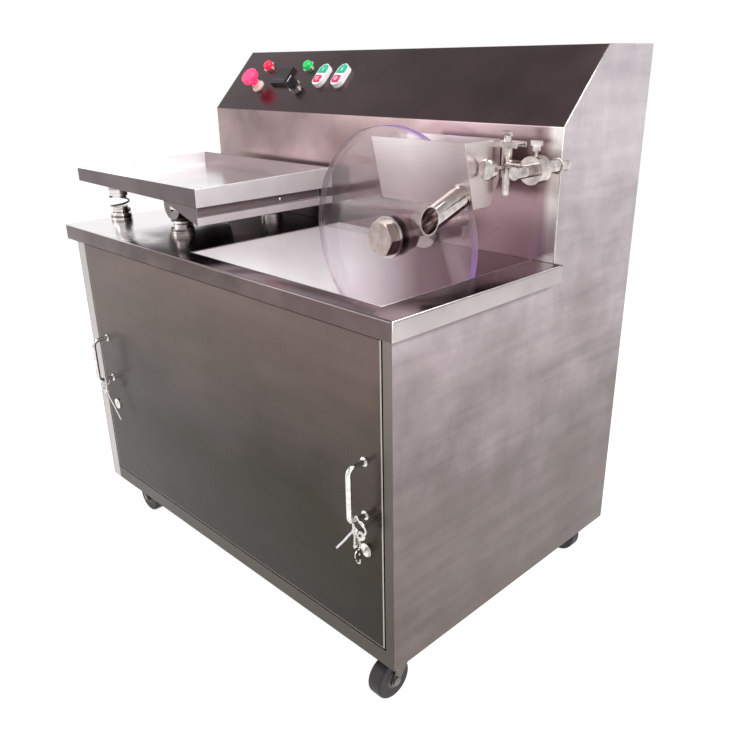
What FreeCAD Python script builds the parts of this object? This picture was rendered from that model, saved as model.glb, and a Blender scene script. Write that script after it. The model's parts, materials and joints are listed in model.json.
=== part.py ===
import FreeCAD, Part
import os
import re
import Sketcher

# Chocolate moulding machine, millimetres.
# X runs along the front from left to right, Y runs from the front to the rear, Z is up.
# The origin is the middle of the whole machine's outline, on the floor.
# In the sheet, a name that ends in Y is measured from the front edge of the worktop,
# and a name that ends in Z is measured up or down from the top of the worktop.

doc = FreeCAD.newDocument("ChocolateMouldingMachine")
sheet = doc.addObject("Spreadsheet::Sheet", "Sizes")
aliases = set()
nodes = []


known = set(globals())

# Worktop and cabinet
deckWidth = 1000
deckTuck = 6
deckLip = 31
deckSheet = 2
deckRadius = 4
cabinetInset = 15
cabinetHeight = 622
bodyDepth = 676
panelSheet = 1.5
consoleFaceY = 409
consoleFaceHeight = 221
consoleSlopeRun = 119
consoleHeight = 343.5
consoleSheet = 2
consoleRadius = 2.5

# Base frame, floor pan, rear panel and the frame round the front opening
frameHeight = 30
frameWall = 3
frameShelf = 100
floorSheet = 1.5
frontFrameDepth = 22
openingLeft = 452
openingRight = 465
openingBottomZ = -591
openingTopZ = -36
stopDepth = 2
stopWidth = 14
stopHeight = 40
stopGap = 0.3
ventWide = 90
ventHigh = 6
ventStep = 16
ventCount = 9
ventX = 220
ventZ = -300

# Lift-off front panel with its handles and cam locks
panelLeft = 449
panelRight = 462
panelBottomZ = -588
panelTopZ = -39
panelDepth = 18
handleLeftX = -408
handleRightX = 424
handleTopZ = -246
handleSpacing = 96
handleReach = 35
handleWire = 9
handleBend = 12
handleFoot = 16
handleFootThick = 2
lockLeftX = -404
lockRightX = 425
lockZ = -407
lockBezel = 24
lockBezelThick = 3
lockBarrel = 18.6
lockHoleGap = 0.2
lockPlug = 12
turnGap = 0.05
lockPlugProud = 1
camLength = 55
camWide = 14
camThick = 3
camGap = 1
lockNut = 16
lockNutThick = 4
keySlotWide = 1.6
keySlotHigh = 7
keySlotDeep = 6

# Heated basin
basinX = 190
basinRadius = 250
basinFrontY = 40
basinSheet = 2
heaterThick = 3
heaterGap = 0.3
heaterEndGap = 20
heaterTopZ = -95

# Moulding wheel and its drive
wheelX = 190
wheelZ = 19.5
wheelFrontY = 310
wheelThick = 15
wheelRadius = 198.5
wheelEdge = 1.5
shaftRadius = 12.5
fitGap = 0.05
nutFlats = 58
nutThick = 17
nutCover = 6
nutChamfer = 1
nutLean = 3
flangeRadius = 39
frontFlangeThick = 7
rearFlangeThick = 8
flangeEdge = 1.5
hubNeckRadius = 25
hubNeckLength = 5
hubCollarRadius = 31
hubCollarLength = 24
bearingFlangeRadius = 36
bearingFlangeThick = 6
bearingBodyRadius = 27
bearingDepth = 24
bearingHoleGap = 0.1
runningGap = 0.05
gearboxWide = 120
gearboxDeep = 100
gearboxHigh = 120
gearboxStartY = 445
gearboxEdge = 8
motorRadius = 54
motorLength = 190
motorFlangeRadius = 58
motorFlangeThick = 12
fanCoverRadius = 56
fanCoverLength = 40
shaftEndProud = 8
shelfThick = 4
shelfFlange = 30
shelfStartY = 430
shelfDepth = 150

# Trough that strips the wheel, and its spout
troughLeftX = 196
troughRightX = 402
troughTopZ = 203
troughBottomZ = 97
troughKneeZ = 141
troughFrontTopY = 264
troughFrontBottomY = 289
troughBackY = 356
troughBackBottomY = 334
troughSheet = 1.5
slotGap = 2
slotEndX = 390
scraperTopZ = 172
spoutX = 379
spoutRootY = 285
spoutRootZ = 116.5
spoutMouthY = 210
spoutMouthZ = 88.4
spoutRadius = 19.05
spoutWall = 1.5
spoutLeanRun = 12
spoutLeanRise = 49
spoutCollar = 21
spoutCollarLength = 4

# Arm that carries the trough
armRodX = 478
armRodZ = 161
armRodRadius = 10
armRodFrontY = 290
armRodRearY = 432
collarRadius = 22
collarY = 346
collarWide = 26
crossRadius = 8
crossY = 349
crossRise = 3
sleeveX = 420
sleeveY = 350
sleeveRadius = 9
sleeveBottomZ = 145
hangGap = 0.3
postRadius = 6.5
postBottomZ = 116
hangerRightX = 447
hangerFrontY = 336
hangerBackY = 365
hangerBottomZ = 192
hangerHigh = 9
hangerSheet = 3
screwRadius = 2.5
screwTipGap = 0.3
screwHoleGap = 0.1
screwNeckRadius = 6.5
screwNeckLength = 8
wingWide = 21
wingThick = 8
wingHigh = 7.5
screwStand = 7
hangerScrewDepth = 18
knobRadius = 16.5
knobThick = 10
knobFaceY = 296
knobEdge = 1.5

# Vibrating tray on four springs
trayLeftX = -517
trayRightX = -47
trayFrontY = 55
trayBackY = 385
trayFrontTopZ = 113
trayRearTopZ = 119
trayFloorLeftZ = 86
trayFloorRightZ = 79
traySheet = 2
gussetX = -165
apronLowZ = 46
apronRecess = 12
apronStripHigh = 15
apronRearClosure = 28
footLeftX = -474
footRightX = -215
footFrontY = 122
footRearY = 350
footBaseRadius = 23.5
footBaseThick = 12
spigotRadius = 17.5
lowerSpigotTopZ = 27
upperCupRadius = 21
upperCupBottomZ = 51
upperSpigotDrop = 6
springRadius = 20
springWire = 4
springTurns = 1.75
springPointsPerTurn = 24
vibratorX = -300
vibratorFrontY = 150
vibratorLength = 130
vibratorZ = 42
vibratorRadius = 27
vibratorCap = 30
vibratorCapLength = 24
vibratorPlateWide = 90
vibratorPlateThick = 4
vibratorFootWide = 40

# Controls on the sloping face, placed by X and by the distance up the slope
controlHole = 11.3
controlBarrel = 11
controlBarrelDepth = 30
controlNut = 14
controlNutThick = 4
lampUp = 124
redLampX = -378
greenLampX = -235
lampBezelRadius = 14
lampBezelThick = 3
lampRadius = 11
lampHigh = 11
lampCrown = 6
stopX = -372
stopUp = 66
stopBezelRadius = 15
stopBezelThick = 4
stopNeckRadius = 10.5
stopNeckHigh = 13
stopStemRadius = 8.5
stopHeadRadius = 20
stopHeadThick = 17
stopHeadStand = 24
stopTravel = 5
stopHeadEdge = 5
pressGap = 0.3
gaugeX = -303
gaugeUp = 95
gaugeSide = 48
gaugeBezelThick = 8
gaugeBody = 44.6
gaugeDepth = 75
gaugeHole = 45
gaugeWindow = 38
gaugeWindowHigh = 20
gaugeWindowDeep = 1
selectorX = -238
selectorUp = 67
selectorBezelRadius = 14.5
selectorBezelThick = 5
selectorRadius = 11.5
selectorHigh = 8
gripWide = 7
gripHigh = 12
switchLeftX = -165
switchRightX = -105
switchUp = 95
switchLong = 56
switchWide = 30
switchHigh = 11
switchButtonWide = 19
switchButtonLong = 17
switchButtonEdge = 4
switchButtonUp = 13
startProud = 1
haltProud = 3
buttonDeep = 7
switchTravel = 2

# Electrical board and cable inlet inside and behind the cabinet
boardGap = 9
boardThick = 2
boardFrontY = 250
boardWide = 260
boardBottomZ = -420
boardHigh = 300
spacerRadius = 5
spacerInset = 20
contactorWide = 45
contactorHigh = 75
contactorDeep = 80
contactorStep = 60
contactorCount = 3
terminalHigh = 40
terminalDeep = 45
glandX = -400
glandZ = -540
glandReach = 22
glandHexFlats = 24
glandHexThick = 5
glandRadius = 10
glandBore = 5
glandTail = 12

# Swivel casters
casterHeight = 95
casterSideInset = 60
casterFrontInset = 74
casterRearInset = 36
casterPlateX = 80
casterPlateY = 66
casterPlateThick = 3
raceRadius = 24
raceThick = 7
swivelGap = 0.3
kingpinRadius = 6
forkTopThick = 4
forkGap = 33
forkLeg = 3
forkLegTop = 34
forkEyeRadius = 11
casterTrail = 28
casterWheelRadius = 37.5
casterWheelWide = 30
casterWheelEdge = 5
casterTurnLeftFront = 90
casterTurnLeftRear = -35
casterTurnRightFront = 0
casterTurnRightRear = -90
axleRadius = 5
axleHeadRadius = 8
axleHeadThick = 3
boltSpacingX = 60
boltSpacingY = 46
boltHole = 4.2

# Every size above goes into the sheet under its own name.
for name in [name for name in globals() if name not in known and name != "known"]:
    aliases.add(name)
    sheet.set(f"A{len(aliases)}", name)
    sheet.set(f"B{len(aliases)}", str(globals()[name]))
    sheet.setAlias(f"B{len(aliases)}", name)
doc.recompute()

# The front-most point is the face of the handles and the rear-most point is the cable gland.
deckFront = "((handleReach - cabinetInset + handleWire/2 - bodyDepth - glandReach)/2)"
deckTop = "(casterHeight + cabinetHeight)"
# The tray overhangs the worktop on the left, so the worktop's middle lies right of the origin.
middleShift = "((-trayLeftX - deckWidth/2)/2)"
sideways = {"shift": middleShift}
halfBody = "(deckWidth/2 - cabinetInset)"
innerHalf = f"({halfBody} - panelSheet)"
slopeAngle = "atan((consoleHeight - consoleFaceHeight)/consoleSlopeRun)"


def at(text):
    return f"({deckFront} + {text})"


def up(text):
    return f"({deckTop} + {text})"


def full(text):
    return re.sub(
        r"[A-Za-z]\w*", lambda word: f"Sizes.{word[0]}" if word[0] in aliases else word[0], str(text),
    )


def number(text):
    value = sheet.evalExpression(full(text))
    return float(getattr(value, "Value", value))


def bind(item, field, text):
    item.setExpression(field, full(text))


def place(item, x, y, z):
    for axis, text in zip("xyz", (f"({x}) + {sideways['shift']}", y, z)):
        bind(item, f".Placement.Base.{axis}", text)


def box(name, x, y, z):
    item = doc.addObject("Part::Box", name)
    for side, span in (("Length", x), ("Width", y), ("Height", z)):
        bind(item, side, f"({span[1]}) - ({span[0]})")
    place(item, x[0], y[0], z[0])
    return item


turns = {
    "x": FreeCAD.Rotation(FreeCAD.Vector(0, 1, 0), 90),
    "y": FreeCAD.Rotation(FreeCAD.Vector(1, 0, 0), -90),
    "z": FreeCAD.Rotation(),
}


def cylinder(name, radius, axis, start, length):
    item = doc.addObject("Part::Cylinder", name)
    item.Placement = FreeCAD.Placement(FreeCAD.Vector(), turns[axis])
    bind(item, "Radius", radius)
    bind(item, "Height", length)
    place(item, *start)
    return item


def cone(name, radiusLow, radiusHigh, axis, start, length):
    item = doc.addObject("Part::Cone", name)
    item.Placement = FreeCAD.Placement(FreeCAD.Vector(), turns[axis])
    bind(item, "Radius1", radiusLow)
    bind(item, "Radius2", radiusHigh)
    bind(item, "Height", length)
    place(item, *start)
    return item


def hexagon(name, flats, axis, start, length):
    item = doc.addObject("Part::Prism", name)
    item.Polygon = 6
    item.Placement = FreeCAD.Placement(FreeCAD.Vector(), turns[axis])
    bind(item, "Circumradius", f"({flats})/2/cos(30)")
    bind(item, "Height", length)
    place(item, *start)
    return item


def fuse(name, *parts):
    item = doc.addObject("Part::MultiFuse", name)
    item.Shapes = list(parts)
    return item


def cut(name, base, *tools):
    item = doc.addObject("Part::Cut", name)
    item.Base = base
    item.Tool = tools[0] if len(tools) == 1 else fuse(name + "_tools", *tools)
    return item


def common(name, first, second):
    item = doc.addObject("Part::Common", name)
    item.Base = first
    item.Tool = second
    return item


def group(name, *parts):
    item = doc.addObject("Part::Compound", name)
    item.Links = list(parts)
    return item


def rounded(name, base, radius, chosen, kind="Part::Fillet"):
    # Rounds the edges whose middle point the test picks.
    doc.recompute()
    amount = number(radius)
    edges = []
    for index, edge in enumerate(base.Shape.Edges, 1):
        middle = edge.valueAt((edge.FirstParameter + edge.LastParameter)/2)
        if chosen(edge, middle):
            edges.append((index, amount, amount))
    item = doc.addObject(kind, name)
    item.Base = base
    item.Edges = edges
    return item


def prism(name, plane, points, start, length):
    # A padded outline: on XZ the pad runs towards plus Y, on YZ towards plus X.
    body = doc.addObject("PartDesign::Body", name)
    sketch = body.newObject("Sketcher::SketchObject", name + "_outline")
    support = [part for part in body.Origin.OriginFeatures if part.Role == plane + "_Plane"][0]
    sketch.AttachmentSupport = [(support, "")]
    sketch.MapMode = "FlatFace"
    corners = [FreeCAD.Vector(number(across), number(high), 0) for across, high in points]
    count = len(corners)
    for index in range(count):
        sketch.addGeometry(Part.LineSegment(corners[index], corners[(index + 1) % count]))
    for index in range(count):
        sketch.addConstraint(Sketcher.Constraint("Coincident", index, 2, (index + 1) % count, 1))
    for index, (across, high) in enumerate(points):
        for kind, text, value in (
            ("DistanceX", across, corners[index].x), ("DistanceY", high, corners[index].y),
        ):
            place_in_list = sketch.addConstraint(Sketcher.Constraint(kind, -1, 1, index, 1, value))
            bind(sketch, f"Constraints[{place_in_list}]", text)
    pad = body.newObject("PartDesign::Pad", name + "_pad")
    pad.Profile = sketch
    pad.Reversed = plane == "XZ"
    bind(pad, "Length", length)
    place(body, *{"XZ": ("0", start, "0"), "YZ": (start, "0", "0")}[plane])
    return body


def node(label, item):
    item.Label = label
    nodes.append(item)
    return item


# Side panels, from the cabinet's foot to the outline of the console
def sidePanel(label, start, *cutters):
    outline = [
        (at("cabinetInset"), "casterHeight"),
        (at("bodyDepth"), "casterHeight"),
        (at("bodyDepth"), up("consoleHeight")),
        (at("consoleFaceY + consoleSlopeRun"), up("consoleHeight")),
        (at("consoleFaceY"), up("consoleFaceHeight")),
        (at("consoleFaceY"), up("(-deckSheet)")),
        (at("cabinetInset"), up("(-deckSheet)")),
    ]
    panel = prism(label + "_sheet", "YZ", outline, start, "panelSheet")
    return node(label, cut(label, panel, *cutters) if cutters else panel)


def armRodCutter(name):
    radius = "armRodRadius + fitGap"
    return cylinder(
        name, radius, "y", ("armRodX", at("armRodFrontY"), up("armRodZ")), "armRodRearY - armRodFrontY",
    )


sidePanel("left_side_panel", f"-{halfBody}")
sidePanel("right_side_panel", innerHalf, armRodCutter("side_rod_notch"))

# Base frame: a floor sheet folded down all round, with a wide lower shelf for the caster plates
frameFront = at("cabinetInset + frontFrameDepth")
frameRear = at("bodyDepth - panelSheet")
frameTop = "(casterHeight + frameHeight - floorSheet)"
frameBlock = box(
    "frame_block", (f"-{innerHalf}", innerHalf), (frameFront, frameRear), (
        "casterHeight", "casterHeight + frameHeight",
    ),
)
frameInside = box(
    "frame_inside",
    (f"-{innerHalf} + frameWall", f"{innerHalf} - frameWall"),
    (f"{frameFront} + frameWall", f"{frameRear} - frameWall"),
    ("casterHeight + frameWall", frameTop),
)
frameWindow = box(
    "frame_window",
    (f"-{innerHalf} + frameShelf", f"{innerHalf} - frameShelf"),
    (f"{frameFront} + frameShelf", f"{frameRear} - frameShelf"),
    ("casterHeight - 1", "casterHeight + frameWall + 1"),
)
corners = [
    (side, end, f"({side}*(deckWidth/2 - casterSideInset))", at(middle))
    for side in (-1, 1)
    for end, middle in (("front", "casterFrontInset"), ("rear", "bodyDepth - casterRearInset"))
]


def casterBolts(name, bottom, length):
    holes = []
    for side, end, x, y in corners:
        for across in (-0.5, 0.5):
            for along in (-0.5, 0.5):
                spot = (f"{x} + {across}*boltSpacingX", f"{y} + {along}*boltSpacingY", bottom)
                holes.append(cylinder(f"{name}_{len(holes)}", "boltHole", "z", spot, length))
    return holes


frameHoles = casterBolts("frame_bolt_hole", "casterHeight - 1", "frameWall + 2")
node("base_frame", cut("base_frame", frameBlock, frameInside, frameWindow, *frameHoles))

# Frame round the front opening: a folded channel with four stops behind the lift-off panel
frontFace = at("cabinetInset")
frontBlock = box(
    "front_block", (f"-{innerHalf}", innerHalf), (frontFace, frameFront),
    ("casterHeight", up("(-deckSheet)")),
)
frontOpening = box(
    "front_opening", ("-openingLeft", "openingRight"), (f"{frontFace} - 1", f"{frameFront} + 1"),
    (up("openingBottomZ"), up("openingTopZ")),
)
channelOuter = box(
    "channel_outer", (f"-{innerHalf} + panelSheet", f"{innerHalf} - panelSheet"),
    (f"{frontFace} + panelSheet", f"{frameFront} + 1"),
    ("casterHeight + panelSheet", up("(-deckSheet - panelSheet)")),
)
channelInner = box(
    "channel_inner", ("-openingLeft - panelSheet", "openingRight + panelSheet"), (
        frontFace, f"{frameFront} + 2",
    ),
    (up("openingBottomZ - panelSheet"), up("openingTopZ + panelSheet")),
)
frontChannel = cut("front_channel", channelOuter, channelInner)
frontRing = cut("front_ring", frontBlock, frontOpening, frontChannel)
stopFront = f"({frontFace} + panelDepth + stopGap)"
stops = []
for label, wall, inner in (("left", "-openingLeft - panelSheet", "-openingLeft + stopWidth"),
                           ("right", "openingRight - stopWidth", "openingRight + panelSheet")):
    for level, low in (("low", "openingBottomZ + stopHeight"), ("high", "openingTopZ - 2*stopHeight")):
        stops.append(box(
            f"stop_{label}_{level}", (wall, inner), (stopFront, f"{stopFront} + stopDepth"),
            (up(low), up(f"{low} + stopHeight")),
        ))
node("front_frame", fuse("front_frame", frontRing, *stops))

# Rear panel with two banks of vents and the hole for the cable inlet
rearSheet = box(
    "rear_sheet", (f"-{innerHalf}", innerHalf), (at("bodyDepth - panelSheet"), at("bodyDepth")),
    ("casterHeight", up("consoleHeight - consoleSheet")),
)
vents = []
for side in (-1, 1):
    for row in range(int(number("ventCount"))):
        middle = f"({side}*ventX)"
        low = f"ventZ + {row}*ventStep"
        vents.append(box(
            f"vent_{side + 1}_{row}", (f"{middle} - ventWide/2", f"{middle} + ventWide/2"),
            (at("bodyDepth - panelSheet - 1"), at("bodyDepth + 1")), (up(low), up(f"{low} + ventHigh")),
        ))
glandHole = cylinder(
    "gland_hole", "glandRadius + fitGap", "y", ("glandX", at("bodyDepth - panelSheet - 1"), up("glandZ")),
    "panelSheet + 2",
)
node("rear_panel", cut("rear_panel", rearSheet, glandHole, *vents))

# Worktop: a folded tray with a lip, cut out for the basin and round the console
deckBlock = box(
    "deck_block", ("-deckWidth/2", "deckWidth/2"), (at("0"), at("(consoleFaceY + deckTuck)")), (
        up("(-deckLip)"), deckTop,
    ),
)
deckRounded = rounded(
    "deck_rounded", deckBlock, "deckRadius",
    lambda edge, middle: abs(middle.z - number(deckTop)) < 0.01
    or (edge.Length < number("deckLip") + 0.01 and middle.y < number(at("1"))),
)
deckInside = box(
    "deck_inside", ("-deckWidth/2 + deckSheet", "deckWidth/2 - deckSheet"),
    (at("deckSheet"), at("(consoleFaceY + deckTuck) - deckSheet")), (
        up("(-deckLip - 1)"), up("(-deckSheet)"),
    ),
)
basinOpening = box(
    "basin_opening", ("basinX - basinRadius", "basinX + basinRadius"), (
        at("basinFrontY"), at("consoleFaceY"),
    ),
    (up("(-deckLip - 1)"), up("1")),
)
basinBackNotch = box(
    "basin_back_notch", ("basinX - basinRadius - basinSheet", "basinX + basinRadius + basinSheet"),
    (at("consoleFaceY - 1"), at("(consoleFaceY + deckTuck) + 1")), (up("(-deckLip - 1)"), up("1")),
)
sideSlots = [
    box(
        f"deck_side_slot_{index}", span, (at("consoleFaceY"), at("(consoleFaceY + deckTuck) + 1")),
        (up("(-deckLip - 1)"), up("1")),
    )
    for index, span in enumerate(((f"-{halfBody}", f"-{innerHalf}"), (innerHalf, halfBody)))
]
rearSkirt = box(
    "deck_rear_skirt", (f"-{innerHalf}", innerHalf), (
        at("(consoleFaceY + deckTuck) - deckSheet - 1"), at("(consoleFaceY + deckTuck) + 1"),
    ),
    (up("(-deckLip - 1)"), up("(-deckSheet)")),
)
node("worktop", cut("worktop", deckRounded, deckInside, basinOpening, basinBackNotch, rearSkirt, *sideSlots))

# Basin: a half cylinder with flat ends, its rear end flush with the console face
basinRear = at("consoleFaceY")
basinFront = at("basinFrontY")
basinOuter = cylinder(
    "basin_outer", "basinRadius + basinSheet", "y", ("basinX", f"{basinFront} - basinSheet", deckTop),
    f"{basinRear} - {basinFront} + 2*basinSheet",
)
basinLower = box(
    "basin_lower", ("basinX - basinRadius - basinSheet", "basinX + basinRadius + basinSheet"),
    (f"{basinFront} - basinSheet", f"{basinRear} + basinSheet"),
    (up("(-basinRadius - 2*basinSheet)"), up("(-deckSheet)")),
)
basinHalf = common("basin_half", basinOuter, basinLower)
basinRim = box(
    "basin_rear_rim", ("basinX - basinRadius - basinSheet", "basinX + basinRadius + basinSheet"),
    (basinRear, f"{basinRear} + basinSheet"), (up("(-deckSheet - 1)"), deckTop),
)
basinHollow = cylinder(
    "basin_hollow", "basinRadius", "y", ("basinX", basinFront, deckTop), f"{basinRear} - {basinFront}",
)


def bearingHole(name, depth):
    # The bearing sits across the joint between the console and the basin's rear wall.
    start = ("wheelX", at("consoleFaceY - 1"), up("wheelZ"))
    return cylinder(name, "bearingBodyRadius + bearingHoleGap", "y", start, f"{depth} + 2")


basinBearingHole = bearingHole("basin_bearing_hole", "basinSheet")
node("basin", cut("basin", fuse("basin_shell", basinHalf, basinRim), basinHollow, basinBearingHole))

# Heater mat wrapped under the basin
matRadius = "basinRadius + basinSheet + heaterGap"
matStart = ("basinX", f"{basinFront} + heaterEndGap", deckTop)
matLength = f"{basinRear} - {basinFront} - 2*heaterEndGap"
matOuter = cylinder("mat_outer", f"{matRadius} + heaterThick", "y", matStart, matLength)
matInner = cylinder("mat_inner", matRadius, "y", matStart, matLength)
matBelow = box(
    "mat_below", ("basinX - 2*basinRadius", "basinX + 2*basinRadius"), (at("0"), at("bodyDepth")),
    (up("(-2*basinRadius)"), up("heaterTopZ")),
)
node("basin_heater", common("basin_heater", cut("mat_ring", matOuter, matInner), matBelow))

# Console: one sheet folded into the upright face, the sloping face and the top
faceBend = f"consoleSheet*tan((90 - {slopeAngle})/2)".replace("90", "90deg")
topBend = f"consoleSheet*tan({slopeAngle}/2)"
slopeTopY = "consoleFaceY + consoleSlopeRun"
consoleOutline = [
    (at("consoleFaceY"), deckTop),
    (at("consoleFaceY"), up("consoleFaceHeight")),
    (at(slopeTopY), up("consoleHeight")),
    (at("bodyDepth"), up("consoleHeight")),
    (at("bodyDepth"), up("consoleHeight - consoleSheet")),
    (at(f"{slopeTopY} + {topBend}"), up("consoleHeight - consoleSheet")),
    (at("consoleFaceY + consoleSheet"), up(f"consoleFaceHeight - {faceBend}")),
    (at("consoleFaceY + consoleSheet"), deckTop),
]
consoleSheetBody = prism("console_sheet", "YZ", consoleOutline, f"-{innerHalf}", f"2*{innerHalf}")


def onBend(edge, middle):
    bends = (("consoleFaceY", "consoleFaceHeight"), (slopeTopY, "consoleHeight"))
    return any(
        abs(middle.y - number(at(y))) < 0.01 and abs(middle.z - number(up(z))) < 0.01 for y, z in bends
    ) and edge.Length > number(halfBody)


consoleFolded = rounded("console_folded", consoleSheetBody, "consoleRadius", onBend)


def onSlope(item, x, along, out):
    # Turns an item so that its own Z points straight out of the sloping face.
    item.Placement = FreeCAD.Placement(FreeCAD.Vector(), FreeCAD.Rotation(FreeCAD.Vector(1, 0, 0), 1))
    bind(item, ".Placement.Rotation.Angle", slopeAngle)
    y = f"consoleFaceY + ({along})*cos({slopeAngle}) - ({out})*sin({slopeAngle})"
    z = f"consoleFaceHeight + ({along})*sin({slopeAngle}) + ({out})*cos({slopeAngle})"
    place(item, x, at(y), up(z))
    return item


def slopeCylinder(name, radius, x, along, low, high):
    item = doc.addObject("Part::Cylinder", name)
    bind(item, "Radius", radius)
    bind(item, "Height", f"({high}) - ({low})")
    return onSlope(item, x, along, low)


def slopeBox(name, x, wide, along, tall, low, high):
    item = doc.addObject("Part::Box", name)
    bind(item, "Length", wide)
    bind(item, "Width", tall)
    bind(item, "Height", f"({high}) - ({low})")
    return onSlope(item, f"({x}) - ({wide})/2", f"({along}) - ({tall})/2", low)


holeSpots = [
    ("redLampX", "lampUp"), ("greenLampX", "lampUp"), ("stopX", "stopUp"),
    ("selectorX", "selectorUp"), ("switchLeftX", "switchUp"), ("switchRightX", "switchUp"),
]
controlHoles = [
    slopeCylinder(f"control_hole_{index}", "controlHole", x, along, "-3*consoleSheet", "consoleSheet")
    for index, (x, along) in enumerate(holeSpots)
]
gaugeCutter = slopeBox(
    "gauge_hole", "gaugeX", "gaugeHole", "gaugeUp", "gaugeHole", "-3*consoleSheet", "consoleSheet",
)
consoleHoles = [
    bearingHole("console_bearing_hole", "consoleSheet"), gaugeCutter, armRodCutter("console_rod_notch"),
]
node("console_panel", cut("console_panel", consoleFolded, *consoleHoles, *controlHoles))

# Shaft bearing, shaft, hub, wheel and cap nut


def alongShaft(name, radius, start, length):
    return cylinder(name, radius, "y", ("wheelX", at(start), up("wheelZ")), length)


bearingBore = alongShaft(
    "bearing_bore", "shaftRadius + runningGap", "consoleFaceY - 2*bearingFlangeThick", "4*bearingDepth",
)
bearingFlange = alongShaft(
    "bearing_flange", "bearingFlangeRadius", "consoleFaceY - bearingFlangeThick", "bearingFlangeThick",
)
bearingBody = alongShaft("bearing_body", "bearingBodyRadius", "consoleFaceY - 1", "bearingDepth + 1")
node("shaft_bearing", cut("shaft_bearing", fuse("bearing_solid", bearingFlange, bearingBody), bearingBore))

shaftStart = "wheelFrontY - frontFlangeThick - nutThick + nutCover"
gearboxEnd = "gearboxStartY + gearboxDeep"
node(
    "drive_shaft",
    alongShaft("drive_shaft", "shaftRadius", shaftStart, f"{gearboxEnd} + shaftEndProud - ({shaftStart})"),
)


def shaftHole(name, start, length):
    return alongShaft(name, "shaftRadius + fitGap", start, length)


disc = alongShaft("wheel_disc", "wheelRadius", "wheelFrontY", "wheelThick")
discEdged = rounded("wheel_edged", disc, "wheelEdge", lambda edge, middle: edge.Closed, "Part::Chamfer")
node(
    "moulding_wheel",
    cut("moulding_wheel", discEdged, shaftHole("wheel_bore", "wheelFrontY - 1", "wheelThick + 2")),
)

frontFlangeStart = "wheelFrontY - frontFlangeThick"
frontFlange = alongShaft("front_flange_disc", "flangeRadius", frontFlangeStart, "frontFlangeThick")
frontFlangeEdged = rounded(
    "front_flange_edged", frontFlange, "flangeEdge", lambda edge, middle: edge.Closed, "Part::Chamfer",
)
node("wheel_front_flange", cut(
    "wheel_front_flange", frontFlangeEdged, shaftHole(
        "front_flange_bore", f"{frontFlangeStart} - 1", "frontFlangeThick + 2",
    ),
))

hubStart = "wheelFrontY + wheelThick"
hubNeckStart = f"{hubStart} + rearFlangeThick"
hubCollarStart = f"{hubNeckStart} + hubNeckLength"
rearFlange = alongShaft("rear_flange_disc", "flangeRadius", hubStart, "rearFlangeThick")
hubNeck = alongShaft("hub_neck", "hubNeckRadius", f"{hubNeckStart} - 1", "hubNeckLength + 2")
hubCollar = alongShaft("hub_collar", "hubCollarRadius", hubCollarStart, "hubCollarLength")
hubLength = "rearFlangeThick + hubNeckLength + hubCollarLength"
node("wheel_rear_hub", cut(
    "wheel_rear_hub", fuse("hub_solid", rearFlange, hubNeck, hubCollar), shaftHole(
        "hub_bore", f"{hubStart} - 1", f"{hubLength} + 2",
    ),
))

nutStart = "wheelFrontY - frontFlangeThick - nutThick"
nutHex = hexagon("nut_hex", "nutFlats", "y", ("wheelX", at(nutStart), up("wheelZ")), "nutThick")
nutCone = cone(
    "nut_cone", "nutFlats/2 + nutChamfer", "nutFlats/2 + nutChamfer + nutThick*nutLean", "y",
    ("wheelX", at(nutStart), up("wheelZ")), "nutThick",
)
nutBore = shaftHole("nut_bore", shaftStart, "nutThick")
node("wheel_nut", cut("wheel_nut", common("nut_chamfered", nutHex, nutCone), nutBore))

# Gearmotor on a cross shelf behind the console
gearboxBlock = box(
    "gearbox_block", ("wheelX - gearboxWide/2", "wheelX + gearboxWide/2"), (
        at("gearboxStartY"), at(gearboxEnd),
    ),
    (up("wheelZ - gearboxHigh/2"), up("wheelZ + gearboxHigh/2")),
)
gearboxRounded = rounded(
    "gearbox_rounded", gearboxBlock, "gearboxEdge",
    lambda edge, middle: abs(edge.Length - number("gearboxDeep")) < 0.01,
)
gearboxBore = shaftHole("gearbox_bore", "gearboxStartY - 1", "gearboxDeep + 2")
gearboxPart = cut("gearbox_part", gearboxRounded, gearboxBore)
motorAxisY = at("gearboxStartY + gearboxDeep/2")
flangeX = "wheelX - gearboxWide/2 - motorFlangeThick"
motorZ = up("wheelZ")
motorFlangePart = cylinder(
    "motor_flange", "motorFlangeRadius", "x", (flangeX, motorAxisY, motorZ), "motorFlangeThick",
)
motorCan = cylinder(
    "motor_can", "motorRadius", "x", (f"{flangeX} - motorLength", motorAxisY, motorZ), "motorLength + 1",
)
motorFan = cylinder(
    "motor_fan_cover", "fanCoverRadius", "x", (f"{flangeX} - motorLength", motorAxisY, motorZ),
    "fanCoverLength",
)
node("gearmotor", fuse("gearmotor", gearboxPart, motorFlangePart, motorCan, motorFan))

shelfTop = up("wheelZ - gearboxHigh/2")
shelfPlate = box(
    "shelf_plate", (f"-{innerHalf}", innerHalf), (at("shelfStartY"), at("shelfStartY + shelfDepth")),
    (f"{shelfTop} - shelfThick", shelfTop),
)
shelfLips = [
    box(f"shelf_lip_{index}", (f"-{innerHalf}", innerHalf), (at(start), at(f"{start} + shelfThick")),
        (f"{shelfTop} - shelfFlange", f"{shelfTop} - shelfThick/2"))
    for index, start in enumerate(("shelfStartY", "shelfStartY + shelfDepth - shelfThick"))
]
node("motor_shelf", fuse("motor_shelf", shelfPlate, *shelfLips))

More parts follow.
